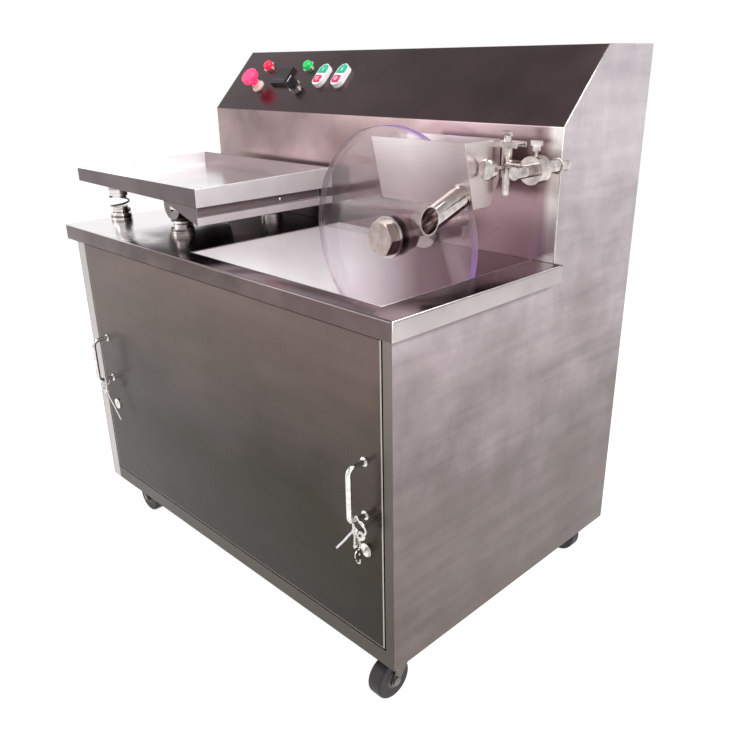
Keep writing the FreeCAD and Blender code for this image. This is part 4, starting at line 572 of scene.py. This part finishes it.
def consoleSteel(name):
    # One folded sheet: its upright face catches the bright worktop, its slope turns to the dark above, its top to the sky
    look = {
        "upright": [(0.25, "#7f6c6a"), (0.5, "#a08a8b"), (0.75, "#bcaaad")],
        "slope": [(0.25, "#4f4244"), (0.75, "#645355")], "top": "#dcd6d6", "roughness": 0.24,
        # From x 140 mm rightwards the upright takes one pinker tone: a painted reflection
        "margins": [{"limits": [("X", 140, 340)], "tone": "#b89fa2"},
                    # Left of x -60 mm and below z 60 mm the upright is dark: painted shade under the tray
                    {"limits": [("X", -30, -60), ("Z", 85, 60)], "tone": "#463a3c"},
                    # A light strip from x 454 mm: a painted highlight along the upright's right corner
                    {"limits": [("X", 454, 468)], "tone": "#efe8e4"}]}
    material, tree, shader, place = startMaterial(name, {"Metallic": 1.0})
    clouds = noiseAt(tree, place, 170, 4.0, 0.55)
    upright = toneRamp(tree, clouds, look["upright"])
    for margin in look["margins"]:
        upright = withMargin(tree, place, upright, margin)
    slope = toneRamp(tree, clouds, look["slope"])
    out = addNode(tree, "ShaderNodeNewGeometry").outputs["True Normal"]
    height = addNode(tree, "ShaderNodeSeparateXYZ", {}, {0: out}).outputs["Z"]
    isSlope = addNode(tree, "ShaderNodeMapRange", {1: 0.2, 2: 0.5, 3: 0.0, 4: 1.0}, {0: height}).outputs[0]
    isTop = addNode(tree, "ShaderNodeMapRange", {1: 0.8, 2: 0.95, 3: 0.0, 4: 1.0}, {0: height}).outputs[0]
    colour = mixColour(tree, "MIX", isTop, mixColour(tree, "MIX", isSlope, upright, slope), linear(look["top"]))
    grain = grainLines(tree, place, "x", 1.6, 90)
    shade = swing(tree, grain, 0.2, 1.0)
    grey = addNode(tree, "ShaderNodeCombineColor", {}, {0: shade, 1: shade, 2: shade}).outputs[0]
    tree.links.new(mixColour(tree, "MULTIPLY", 1.0, colour, grey), shader.inputs["Base Color"])
    tree.links.new(swing(tree, noiseAt(tree, place, 70), 0.16, look["roughness"]), shader.inputs["Roughness"])
    ripple = bumpFrom(tree, noiseAt(tree, place, 160, 1.0), 0.6, 0.35)
    tree.links.new(bumpFrom(tree, grain, 0.04, 0.2, ripple), shader.inputs["Normal"])
    return material


softened("console_panel", consoleSteel("Stainless sheet folded and brushed console"))

worktopLook = {
    # The along tones, near white at the left and darker to the right, are a painted reflection
    "along": [(0.0, "#f3edef"), (0.24, "#f6eff1"), (0.36, "#a29396"), (0.75, "#998a8f"), (0.92, "#807175"), (1.0, "#85777b")],
    # The margin darkens the top face right of x -330 mm and behind y 42 mm: painted shade of the tray and motor
    "margins": [{"side": "Z", "limits": [("X", -330, -240), ("Y", 42, 75)], "tone": "#57494c"}],
    "facing": {"top": toned("#8f8184", "#a79a9d"), "front": toned("#594e4d", "#726664"), "right": toned("#b0a6a7", "#c4bcbc"),
               "left": toned("#c9c2c3", "#d9d3d4")},
    "box": (worktopLow, worktopHigh), "glance": 0.6, "roughness": 0.17, "grain": "x", "rippleMm": 140, "rippleDepth": 0.6}
softened("worktop", polishedSheet("Stainless sheet buffed worktop", worktopLook), 0.9)
basinLook = {
    # The margin darkens the basin right of x -20 mm, fully from 180 mm: painted reflection and shade
    "tones": toned("#f6f0f3", "#ffffff"), "margins": [{"limits": [("X", -20, 180)], "tone": "#866b71"}], "satinRight": 0.17,
    "roughness": 0.45, "grain": "y", "rippleMm": 100, "rippleDepth": 0.4}
dress(cadNodes["basin"], polishedSheet("Stainless sheet rolled and buffed basin", basinLook))
dress(cadNodes["basin_heater"], siliconeMat)


def weldLine(name, points, radius, like="console_panel", lumps=0.0):
    bm = bmesh.new()
    sweep(bm, points, roundSection(radius, 8), across=Vector((0.3, 0.2, 0.9)))
    markEdges(bm, 60)
    return addPiece(name, bm, weldBead, like)


def straight(start, end, steps=2):
    return [start.lerp(end, i/(steps - 1)) for i in range(steps)]


# Thin beads along the worktop's right edge and the console's corners, lighter than the sheets: a painted highlight of
# the light their rounded edges catch
edgeHighlightBead = turnedBar("Stainless edge bead painted highlight", {"tones": toned("#c6bebc", "#e6e0de"), "roughness": 0.25})
lipEdge = {"x": 499.3, "y": 0.7, "z": -0.7, "low": -30, "rear": 407, "radius": 0.9}
path = [deck(lipEdge["x"], lipEdge["rear"], lipEdge["z"]), deck(lipEdge["x"], lipEdge["y"], lipEdge["z"]),
        deck(lipEdge["x"], lipEdge["y"], lipEdge["low"])]
dress(weldLine("worktop_right_edge_highlight", path, lipEdge["radius"], "worktop"), edgeHighlightBead)
basinRim = {"left": -60, "right": 440, "front": 40, "rear": 408, "radius": 1.0, "sink": 0.7}
rimCorners = [
    deck(basinRim["left"], basinRim["rear"], -basinRim["sink"]), deck(basinRim["left"], basinRim["front"], -basinRim["sink"]),
    deck(basinRim["right"], basinRim["front"], -basinRim["sink"]), deck(basinRim["right"], basinRim["rear"], -basinRim["sink"])]
rimPath = straight(rimCorners[0], rimCorners[1], 6) + straight(rimCorners[1], rimCorners[2], 6)[1:] + straight(rimCorners[2], rimCorners[3], 6)[1:]
weldLine("basin_rim_weld", rimPath, basinRim["radius"], "basin")

consoleEdge = {"x": 484.2, "radius": 1.2, "foot": 2, "faceY": 409, "faceTop": 221, "slopeTopY": 528, "top": 343.5, "rear": 674}
for side, name in ((-1, "left"), (1, "right")):
    outline = [(consoleEdge["faceY"], consoleEdge["foot"]), (consoleEdge["faceY"], consoleEdge["faceTop"]),
               (consoleEdge["slopeTopY"], consoleEdge["top"]), (consoleEdge["rear"], consoleEdge["top"])]
    path = [deck(side*consoleEdge["x"], y + 0.4, z - 0.9) for y, z in outline]
    dress(weldLine(f"console_{name}_corner_weld_highlight", path, consoleEdge["radius"]), edgeHighlightBead)
print("cabinet dressed")

# ---- Wheel, shaft and hub

disc = {"bore": 12.6, "edge": 1.5, "sides": 256}
low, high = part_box("moulding_wheel")
radius, thick = (high.x - low.x)/2/mm, (high.y - low.y)/mm
bm = bmesh.new()
profile = [(disc["bore"], 0), (radius - disc["edge"], 0), (radius, disc["edge"]), (radius, thick - disc["edge"]),
           (radius - disc["edge"], thick), (disc["bore"], thick)]
centre = Vector(((low.x + high.x)/2, high.y, (low.z + high.z)/2))
turnedRing(bm, profile, facing(centre, (0, -1, 0), (0, 0, 1)), disc["sides"])
markEdges(bm)
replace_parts(addPiece("moulding_wheel_fine", bm, wheelAcrylic, "moulding_wheel"), "moulding_wheel")
nutSteel = turnedBar("Stainless bar milled hexagonal", {"tones": toned("#b3a6a0", "#cfc4be"), "roughness": 0.3, "grain": "xz"})
dress(cadNodes["wheel_nut"], nutSteel)
# The hubs' dark and bright bands, 14 mm wide, are painted shade and painted highlight
for node in ("wheel_front_flange", "wheel_rear_hub"):
    dress(cadNodes[node], turnedBar(f"Stainless bar turned {node}", {
        "tones": [(0.38, "#4a403e"), (0.45, "#b9aeaa"), (0.55, "#f1ebe8"), (0.62, "#6d615e")], "roughness": 0.18, "grain": "xz", "bandMm": 14}))
dress(cadNodes["drive_shaft"], turnedSteel)
dress(cadNodes["shaft_bearing"], turnedSatin)
dress(cadNodes["gearmotor"], motorEnamel)

# ---- Trough, spout and arm

# Its tones lighten upward: painted shade and light; the margin darkens its front faces right of x 280 mm: painted shade
troughLook = {"lean": (0, 0, 1), "grain": "x", "roughness": 0.32, "cloudiness": 0.5, "cloudMm": 70, "rippleMm": 150, "rippleDepth": 0.15,
              "margins": [{"side": "-Y", "limits": [("X", 280, 380)], "tone": "#bcb0af"}],
              "tones": [(0.0, "#c5b8b7"), (0.5, "#dacfce"), (1.0, "#ece5e4")]}
softened("trough", brushedSheet("Stainless sheet folded and sanded trough", *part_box("trough"), troughLook), 0.5, 6)
softened("trough_hanger", turnedSatin, 0.5, 6)
# The spout's front-facing faces forward of y 275 mm are darker: painted shade
dress(cadNodes["spout"], turnedBar("Stainless tube buffed", {
    "tones": toned("#b9aeab", "#ddd5d2"), "roughness": 0.1, "margins": [{"side": "-Y", "limits": [("Y", 275, 262)], "tone": "#7d7371"}]}))
for node in ("arm_rod", "height_post", "collar_screw", "sleeve_knob", "hanger_screw"):
    dress(cadNodes[node], turnedSteel)
dress(cadNodes["clamp_arm"], turnedSatin)

rodWeld = {"x": 478, "z": 161, "rod": 10, "y": 407.6, "bead": 2.0, "lumps": 22, "lumpHigh": 0.35, "steps": 88}
bm = bmesh.new()
ringPath = []
for index in range(rodWeld["steps"]):
    angle = 2*math.pi*index/rodWeld["steps"]
    reach = rodWeld["rod"] + 0.9 + rodWeld["lumpHigh"]*math.sin(rodWeld["lumps"]*angle)
    ringPath.append(deck(rodWeld["x"] + reach*math.cos(angle), rodWeld["y"], rodWeld["z"] + reach*math.sin(angle)))
sweep(bm, ringPath, roundSection(rodWeld["bead"], 8), closed=True, across=Vector((0, 1, 0)))
markEdges(bm, 60)
addPiece("rod_weld", bm, weldBead, "arm_rod")
print("trough and arm dressed")

# ---- Vibrating tray

trayLook = {
    "facing": {"top": toned("#efe9ea", "#fbf8f8"), "front": toned("#5b5154", "#73686a"), "right": toned("#f2ecef", "#fdfafc"),
               "left": toned("#c3babb", "#d7cecf"), "bottom": toned("#2c2325", "#3a3032")},
    # The margin darkens the faces that look forward, behind y 200 mm: painted shade on the tray's back wall
    "margins": [{"side": "-Y", "limits": [("Y", 200, 300)], "tone": "#8b7f81"}],
    "satinRight": 0.3, "roughness": 0.24, "grain": "x", "rippleMm": 110, "rippleDepth": 0.5}
traySteel = polishedSheet("Stainless sheet buffed tray", trayLook)
softened("vibrating_tray", traySteel, 0.6)
apronLook = {
    "facing": {"top": toned("#b9aeb1", "#d0c7ca"), "front": toned("#685d60", "#7a6f71"), "right": toned("#ece4e8", "#faf5f8"),
               "bottom": toned("#2c2325", "#3a3032")},
    # The margin darkens its right faces above z 61 mm: painted shade under the tray
    "margins": [{"side": "X", "limits": [("Z", 61, 62)], "tone": "#8b7e81"}],
    "satinRight": 0.3, "roughness": 0.24, "grain": "y", "rippleMm": 90, "rippleDepth": 0.4}
softened("tray_apron", polishedSheet("Stainless sheet buffed apron", apronLook), 0.6)
for node in ("lower_spring_seats", "upper_spring_cups"):
    dress(cadNodes[node], grooveShadedBar)
dress(cadNodes["tray_springs"], springWire)
dress(cadNodes["vibration_motor"], castAluminium)

apronScrew = {"x": -59, "y": 256, "z": 69.5, "head": [(0, -0.2), (2.6, -0.2), (2.6, 0.5), (1.6, 1.2), (0, 1.4)]}
bm = bmesh.new()
turnedShape(bm, apronScrew["head"], facing(deck(apronScrew["x"], apronScrew["y"], apronScrew["z"]), (1, 0, 0), (0, 0, 1)), 20)
markEdges(bm, 40)
addPiece("apron_screw", bm, handleWire, "tray_apron")

# ---- Controls on the slope

slopeAngle = math.atan2(122.5, 119)
slopeOut = Vector((0, -math.sin(slopeAngle), math.cos(slopeAngle)))
slopeUp = Vector((0, math.cos(slopeAngle), math.sin(slopeAngle)))


def onSlope(x, along, out):
    return facing(deck(x, 409, 221) + slopeUp*along*mm + slopeOut*out*mm, slopeOut, slopeUp)


dress(cadNodes["red_lamp_lens"], redLens)
dress(cadNodes["green_lamp_lens"], greenLens)
dress(cadNodes["emergency_stop_button"], redMushroom)
dress(cadNodes["emergency_stop_base"], stopNeck)
dress(cadNodes["control_bezels"], nickelPlate)
dress(cadNodes["switch_housings"], paleHousing)
dress(cadNodes["temperature_controller"], controllerBlack)
dress(cadNodes["selector_knob"], blackNylon)
for side in ("left", "right"):
    dress(cadNodes[f"{side}_start_button"], greenCap)
    dress(cadNodes[f"{side}_stop_button"], redCap)

switchMarks = {"leftX": -165, "rightX": -105, "startUp": 108, "stopUp": 82, "startOut": 12, "stopOut": 14,
               "barWide": 1.8, "barTall": 8, "ringOuter": 4.4, "ringInner": 3.0, "ink": 0.15}
startSurround = {"out": 11, "thick": 0.25, "round": 13.4, "low": 10.2, "holeWide": 9.9, "holeTall": 8.9, "steps": 64}


def startField(bm, matrix):
    # The green field printed round the start button: half round above, cut straight below
    look = startSurround
    rings = [[], [], [], []]
    for step in range(look["steps"]):
        turn = 2*math.pi*(step + 0.5)/look["steps"]
        across, upward = math.cos(turn), math.sin(turn)
        outer = look["round"] if upward > 0 else min(look["round"]/abs(across), look["low"]/abs(upward))
        inner = min(look["holeWide"]/abs(across), look["holeTall"]/abs(upward))
        for ring, reach, height in zip(rings, (inner, outer, outer, inner), (0, 0, look["thick"], look["thick"])):
            ring.append(bm.verts.new(matrix @ (Vector((across*reach, upward*reach, height))*mm)))
    for first, second in zip(rings, rings[1:] + rings[:1]):
        for i in range(look["steps"]):
            j = (i + 1) % look["steps"]
            bm.faces.new((first[i], first[j], second[j], second[i]))
    bmesh.ops.recalc_face_normals(bm, faces=bm.faces)


for side in ("left", "right"):
    x = switchMarks[f"{side}X"]
    bm = bmesh.new()
    slab(bm, onSlope(x, switchMarks["startUp"], switchMarks["startOut"]), switchMarks["barWide"], switchMarks["barTall"], switchMarks["ink"], 0.5)
    addPiece(f"{side}_start_mark", bm, markWhite, f"{side}_start_button")
    bm = bmesh.new()
    profile = [(switchMarks["ringInner"], 0), (switchMarks["ringInner"], switchMarks["ink"]),
               (switchMarks["ringOuter"], switchMarks["ink"]), (switchMarks["ringOuter"], 0)]
    turnedRing(bm, profile, onSlope(x, switchMarks["stopUp"], switchMarks["stopOut"]))
    addPiece(f"{side}_stop_mark", bm, markWhite, f"{side}_stop_button")
    bm = bmesh.new()
    startField(bm, onSlope(x, switchMarks["startUp"], startSurround["out"]))
    addPiece(f"{side}_start_surround", bm, greenCap, "switch_housings")

selectorMark = {"x": -238, "up": 67, "out": 25.3, "wide": 1.6, "tall": 17, "thick": 0.3}
bm = bmesh.new()
slab(bm, onSlope(selectorMark["x"], selectorMark["up"] + 2, selectorMark["out"]), selectorMark["wide"], selectorMark["tall"], selectorMark["thick"], 0.6)
addPiece("selector_pointer", bm, markWhite, "selector_knob")

gauge = {"x": -303, "up": 95, "windowUp": 101.7, "windowWide": 37.6, "windowTall": 19.6, "windowOut": 7.1, "faceOut": 8,
         "keyWide": 6.5, "keyTall": 4.2, "keyHigh": 0.8, "keyRowUp": 80, "keyStep": 9.4}
gaugeGlass = moulded("Polycarbonate window smoked", {"tones": toned("#08060a", "#100b12"), "roughness": 0.08})
bm = bmesh.new()
slab(bm, onSlope(gauge["x"], gauge["windowUp"], gauge["windowOut"]), gauge["windowWide"], gauge["windowTall"], 0.5, 1.0)
addPiece("controller_window", bm, gaugeGlass, "temperature_controller")
bm = bmesh.new()
for index in range(4):
    x = gauge["x"] + (index - 1.5)*gauge["keyStep"]
    slab(bm, onSlope(x, gauge["keyRowUp"], gauge["faceOut"]), gauge["keyWide"], gauge["keyTall"], gauge["keyHigh"], 1.2)
controllerKeys = moulded("Silicone keys moulded grey", {"tones": toned("#3b353b", "#4d464d"), "roughness": 0.5})
addPiece("controller_keys", bm, controllerKeys, "temperature_controller")
print("controls dressed")

# ---- Handles, locks, ties and keys

dress(cadNodes["panel_handles"], handleWire)
for node in ("lock_housings", "left_cam_lock", "right_cam_lock"):
    dress(cadNodes[node], nickelPlate)

keySteel = turnedBar("Brass key nickel plated", {"tones": toned("#b8b2ab", "#e2ded9"), "roughness": 0.18, "grain": "z"})


def makeKey(bm, matrix, key):
    # Flat bow with a hole, then the blade with its cuts, lying on the matrix's own XY plane and pointing along minus Y
    bow = [(key["hole"], 0), (key["bow"], 0), (key["bow"], key["thick"]), (key["hole"], key["thick"])]
    turnedRing(bm, bow, matrix, 28, 0.86)
    outline = [(-key["blade"]/2, -key["bow"]*0.8), (-key["blade"]/2, -key["bow"] - key["reach"])]
    outline.append((0, -key["bow"] - key["reach"] - 2))
    for index, cut in enumerate(key["cuts"]):
        y = -key["bow"] - key["reach"] + 2 + index*key["pitch"]
        outline += [(key["blade"]/2 - cut, y), (key["blade"]/2, y + key["pitch"]/2)]
    outline.append((key["blade"]/2, -key["bow"]*0.8))
    low = [bm.verts.new(matrix @ Vector((x*mm, y*mm, key["thick"]*0.15*mm))) for x, y in outline]
    high = [bm.verts.new(matrix @ Vector((x*mm, y*mm, key["thick"]*0.85*mm))) for x, y in outline]
    size = len(outline)
    for i in range(size):
        j = (i + 1) % size
        bm.faces.new((low[i], low[j], high[j], high[i]))
    bm.faces.new(reversed(low))
    bm.faces.new(high)
    bmesh.ops.recalc_face_normals(bm, faces=bm.faces)


key = {"hole": 3.2, "bow": 11, "thick": 2.0, "blade": 7, "reach": 20, "cuts": (1.6, 2.4, 1.2, 2.0), "pitch": 4}
tie = {"wide": 3.6, "thick": 1.2, "headWide": 6, "headTall": 5.5, "headThick": 4.5}
beads = {"radius": 1.6, "gap": 1.0}


def makeTie(name, loop, tail):
    # A nylon strap closed round the handle, with its head and its stiff tail
    bm = bmesh.new()
    sweep(bm, smoothPath(loop, 8, closed=True), stripSection(tie["wide"], tie["thick"]), closed=True, across=Vector((0, 1, 0)))
    sweep(bm, smoothPath(tail, 6), stripSection(tie["wide"], tie["thick"]), across=Vector((0, 1, 0)))
    head = facing(tail[0], tail[1] - tail[0], Vector((0, 1, 0)))
    slab(bm, head @ Matrix.Translation((0, 0, -tie["headThick"]/2*mm)), tie["headWide"], tie["headTall"], tie["headThick"], 1.0)
    markEdges(bm, 40)
    return addPiece(name, bm, whiteTie, "panel_handles")


legZ = -342
rightLoop = [deck(424, -6, legZ + 6.2), deck(433, -8, legZ + 1), deck(447, -9, legZ - 6), deck(446, -9, legZ - 15),
             deck(432, -8, legZ - 27), deck(419, -7, legZ - 22), deck(417, -6, legZ - 8)]
rightTail = [deck(419, -7, legZ - 22), deck(410, -8, legZ - 32), deck(394, -6, legZ - 52), deck(371, -3, legZ - 79)]
makeTie("right_handle_tie", rightLoop, rightTail)
leftLoop = [deck(-408, -6, legZ + 6.2), deck(-401, -8, legZ - 2), deck(-400, -9, legZ - 18), deck(-404, -9, legZ - 29),
            deck(-413, -8, legZ - 27), deck(-417, -7, legZ - 12), deck(-415, -6, legZ)]
leftTail = [deck(-404, -8, legZ - 28), deck(-397, -7, legZ - 42), deck(-383, -5, legZ - 62), deck(-365, -3, legZ - 88)]
makeTie("left_handle_tie", leftLoop, leftTail)


def makeRing(bm, centre, outward, radius, wire):
    matrix = facing(centre, outward, (0, 0, 1))
    path = [matrix @ Vector((radius*mm*math.cos(2*math.pi*i/36), radius*mm*math.sin(2*math.pi*i/36), 0.4*mm*math.sin(4*math.pi*i/36)))
            for i in range(36)]
    sweep(bm, path, roundSection(wire, 6), closed=True, across=Vector(outward))


bm = bmesh.new()
makeRing(bm, deck(432, -7, legZ - 9), (0.2, -1, 0.15), 10, 0.7)
makeKey(bm, facing(deck(438, -10, legZ - 20), (0.35, -1, 0.1), (0.4, 0, 1)), dict(key, bow=9, reach=16))
makeKey(bm, facing(deck(427, -11, legZ - 16), (-0.5, -1, 0.2), (-0.5, 0, 1)), dict(key, bow=9, reach=16))
markEdges(bm, 40)
addPiece("right_spare_keys", bm, keySteel, "panel_handles")

bm = bmesh.new()
makeRing(bm, deck(-408, -6, legZ - 4), (0.9, -0.5, 0.1), 9, 0.7)
makeKey(bm, facing(deck(-410, -9, legZ - 20), (0.6, -1, 0.1), (-0.1, 0, 1)), dict(key, bow=8, reach=15))
markEdges(bm, 40)
addPiece("left_spare_key", bm, keySteel, "panel_handles")

# A key left in the right lock, its bead chain looped up to the tie
lockFace = {"leftX": -404, "rightX": 425, "z": -407, "y": 11}
bm = bmesh.new()
makeKey(bm, facing(deck(lockFace["rightX"] - 1, lockFace["y"] - 14, lockFace["z"]), (1, 0, 0), (0, -1, 0)), dict(key, bow=10, reach=3, cuts=(1.6,), blade=6))
markEdges(bm, 40)
addPiece("right_lock_key", bm, keySteel, "right_cam_lock")

chainPoints = [deck(432, -8, legZ - 29), deck(430, -4, legZ - 42), deck(424, -3, legZ - 60), deck(414, 3, legZ - 76),
               deck(408, 6, legZ - 86), deck(412, 6, legZ - 92), deck(421, 3, legZ - 86), deck(425, -2, lockFace["z"] + 1)]
fine = smoothPath(chainPoints, 24)
bm = bmesh.new()
travelled, wanted = 0.0, 0.0
for here, there in zip(fine, fine[1:]):
    travelled += (there - here).length/mm
    if travelled >= wanted:
        profile = [(0, -beads["radius"])] + [
            (beads["radius"]*math.cos(math.radians(angle)), beads["radius"]*math.sin(math.radians(angle))) for angle in range(-60, 61, 30)
        ] + [(0, beads["radius"])]
        turnedShape(bm, profile, Matrix.Translation(there), 10)
        wanted = travelled + 2*beads["radius"] + beads["gap"]
sweep(bm, fine[::4], roundSection(0.4, 5))
markEdges(bm, 70)
addPiece("lock_bead_chain", bm, keySteel, "panel_handles")
print("handles and locks dressed")

# ---- Rear, board and casters

dress(cadNodes["electrical_board"], galvanised)
dress(cadNodes["cable_gland"], blackNylon)
dress(cadNodes["caster_plates"], zincPlate)
casterNames = ("left_front", "left_rear", "right_front", "right_rear")
hub = {"outer": 17, "inner": 5.6, "proud": 0.9, "half": 15}
hubPlastic = moulded("Polypropylene hub moulded grey", {"tones": toned("#332d2c", "#4a4240"), "roughness": 0.4})
for name in casterNames:
    dress(cadNodes[f"{name}_caster_fork"], zincPlate)
    dress(cadNodes[f"{name}_caster_wheel"], rubberTyre)
    low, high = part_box(f"{name}_caster_wheel")
    joint = [item for item in frame["joints"] if item["name"] == f"{name}_roll"][0]
    axle = Vector(joint["axis"])
    bm = bmesh.new()
    for side in (-1, 1):
        matrix = facing(Vector(joint["pos_m"]), axle*side, (0, 0, 1))
        turnedShape(bm, [(hub["inner"], hub["half"] - 0.5), (hub["inner"], hub["half"] + hub["proud"]), (hub["outer"] - 4, hub["half"] + hub["proud"]),
                         (hub["outer"] - 1, hub["half"] + 0.3), (hub["outer"], hub["half"] - 0.5)], matrix, 32)
    markEdges(bm, 40)
    addPiece(f"{name}_wheel_hub", bm, hubPlastic, f"{name}_caster_wheel")
print("casters dressed")

# ---- Floor, light and camera

studio = {"floorSize": 14.0, "floorColour": "#f2f0f1", "worldDiffuse": 0.6, "floorGlow": 0.6, "glowStrength": 1.5, "zenith": 0.35}


def studioFloor():
    bm = bmesh.new()
    bmesh.ops.create_grid(bm, x_segments=1, y_segments=1, size=studio["floorSize"])
    mesh = bpy.data.meshes.new("studio_floor")
    bm.to_mesh(mesh)
    bm.free()
    item = bpy.data.objects.new("studio_floor", mesh)
    bpy.context.scene.collection.objects.link(item)
    material = bpy.data.materials.new("Studio floor painted")
    material.use_nodes = True
    tree = material.node_tree
    tree.nodes.clear()
    diffuse = addNode(tree, "ShaderNodeBsdfDiffuse", {"Color": linear(studio["floorColour"])})
    glow = addNode(tree, "ShaderNodeEmission", {"Color": (1, 1, 1, 1), "Strength": studio["glowStrength"]})
    ray = addNode(tree, "ShaderNodeLightPath")
    seen = math2(tree, "MAXIMUM", ray.outputs["Is Camera Ray"], math2(tree, "MAXIMUM", ray.outputs["Is Glossy Ray"], ray.outputs["Is Transmission Ray"]))
    share = math2(tree, "MULTIPLY", seen, studio["floorGlow"])
    mixed = addNode(tree, "ShaderNodeMixShader", {}, {0: share, 1: diffuse.outputs[0], 2: glow.outputs[0]})
    addNode(tree, "ShaderNodeOutputMaterial", {}, {0: mixed.outputs[0]})
    item.data.materials.append(material)


def studioWorld():
    # White where the camera looks; for reflections white near the horizon and greyer overhead, as a room is
    world = bpy.data.worlds.new("Studio white")
    bpy.context.scene.world = world
    world.use_nodes = True
    tree = world.node_tree
    tree.nodes.clear()
    ray = addNode(tree, "ShaderNodeLightPath")
    toward = addNode(tree, "ShaderNodeTexCoord").outputs["Generated"]
    height = addNode(tree, "ShaderNodeSeparateXYZ", {}, {0: toward}).outputs["Z"]
    room = addNode(tree, "ShaderNodeMapRange", {1: 0.35, 2: 0.95, 3: 1.0, 4: studio["zenith"]}, {0: height}).outputs[0]
    bounced = math2(tree, "MAXIMUM", ray.outputs["Is Glossy Ray"], ray.outputs["Is Transmission Ray"])
    room = math2(tree, "MULTIPLY", room, math2(tree, "ADD", math2(tree, "MULTIPLY", bounced, 1 - studio["worldDiffuse"]), studio["worldDiffuse"]))
    strength = math2(tree, "MAXIMUM", room, ray.outputs["Is Camera Ray"])
    background = addNode(tree, "ShaderNodeBackground", {"Color": (1, 1, 1, 1)}, {"Strength": strength})
    addNode(tree, "ShaderNodeOutputWorld", {}, {0: background.outputs[0]})


def softLamp(name, place, aim, size, power):
    light = bpy.data.lights.new(name, "AREA")
    light.shape = "SQUARE"
    light.size = size
    light.energy = power
    item = bpy.data.objects.new(name, light)
    bpy.context.scene.collection.objects.link(item)
    item.location = place
    item.rotation_mode = "QUATERNION"
    item.rotation_quaternion = (Vector(aim) - Vector(place)).to_track_quat("-Z", "Y")


studioFloor()
studioWorld()
softLamp("key_lamp", (2.6, -0.4, 2.4), (0.2, 0, 0.6), 1.8, 68)
softLamp("fill_lamp", (-1.8, -2.6, 1.8), (-0.2, 0, 0.7), 2.0, 30)
softLamp("top_lamp", (0.5, -0.3, 3.0), (0, 0, 0.7), 1.6, 45)

# The photograph's viewpoint, worked out from its vanishing lines
view = {"place": (1184.15, -703.41, 327.84), "yaw": 45.623, "pitch": 22.377, "roll": -0.9145, "focal": 771.17, "frame": 750}
camera = bpy.data.cameras.new("photo_camera")
camera.sensor_width = 36
camera.lens = camera.sensor_width*view["focal"]/view["frame"]
camera.clip_start, camera.clip_end = 0.05, 50
cameraItem = bpy.data.objects.new("photo_camera", camera)
bpy.context.scene.collection.objects.link(cameraItem)
cameraItem.location = deck(*view["place"])
yaw, pitch = math.radians(view["yaw"]), math.radians(view["pitch"])
forward = Vector((-math.sin(yaw)*math.cos(pitch), math.cos(yaw)*math.cos(pitch), -math.sin(pitch)))
cameraItem.rotation_mode = "QUATERNION"
cameraItem.rotation_quaternion = forward.to_track_quat("-Z", "Y") @ Quaternion((0, 0, 1), math.radians(view["roll"]))
bpy.context.scene.camera = cameraItem
bpy.context.scene.view_settings.view_transform = "Standard"
print("studio ready")
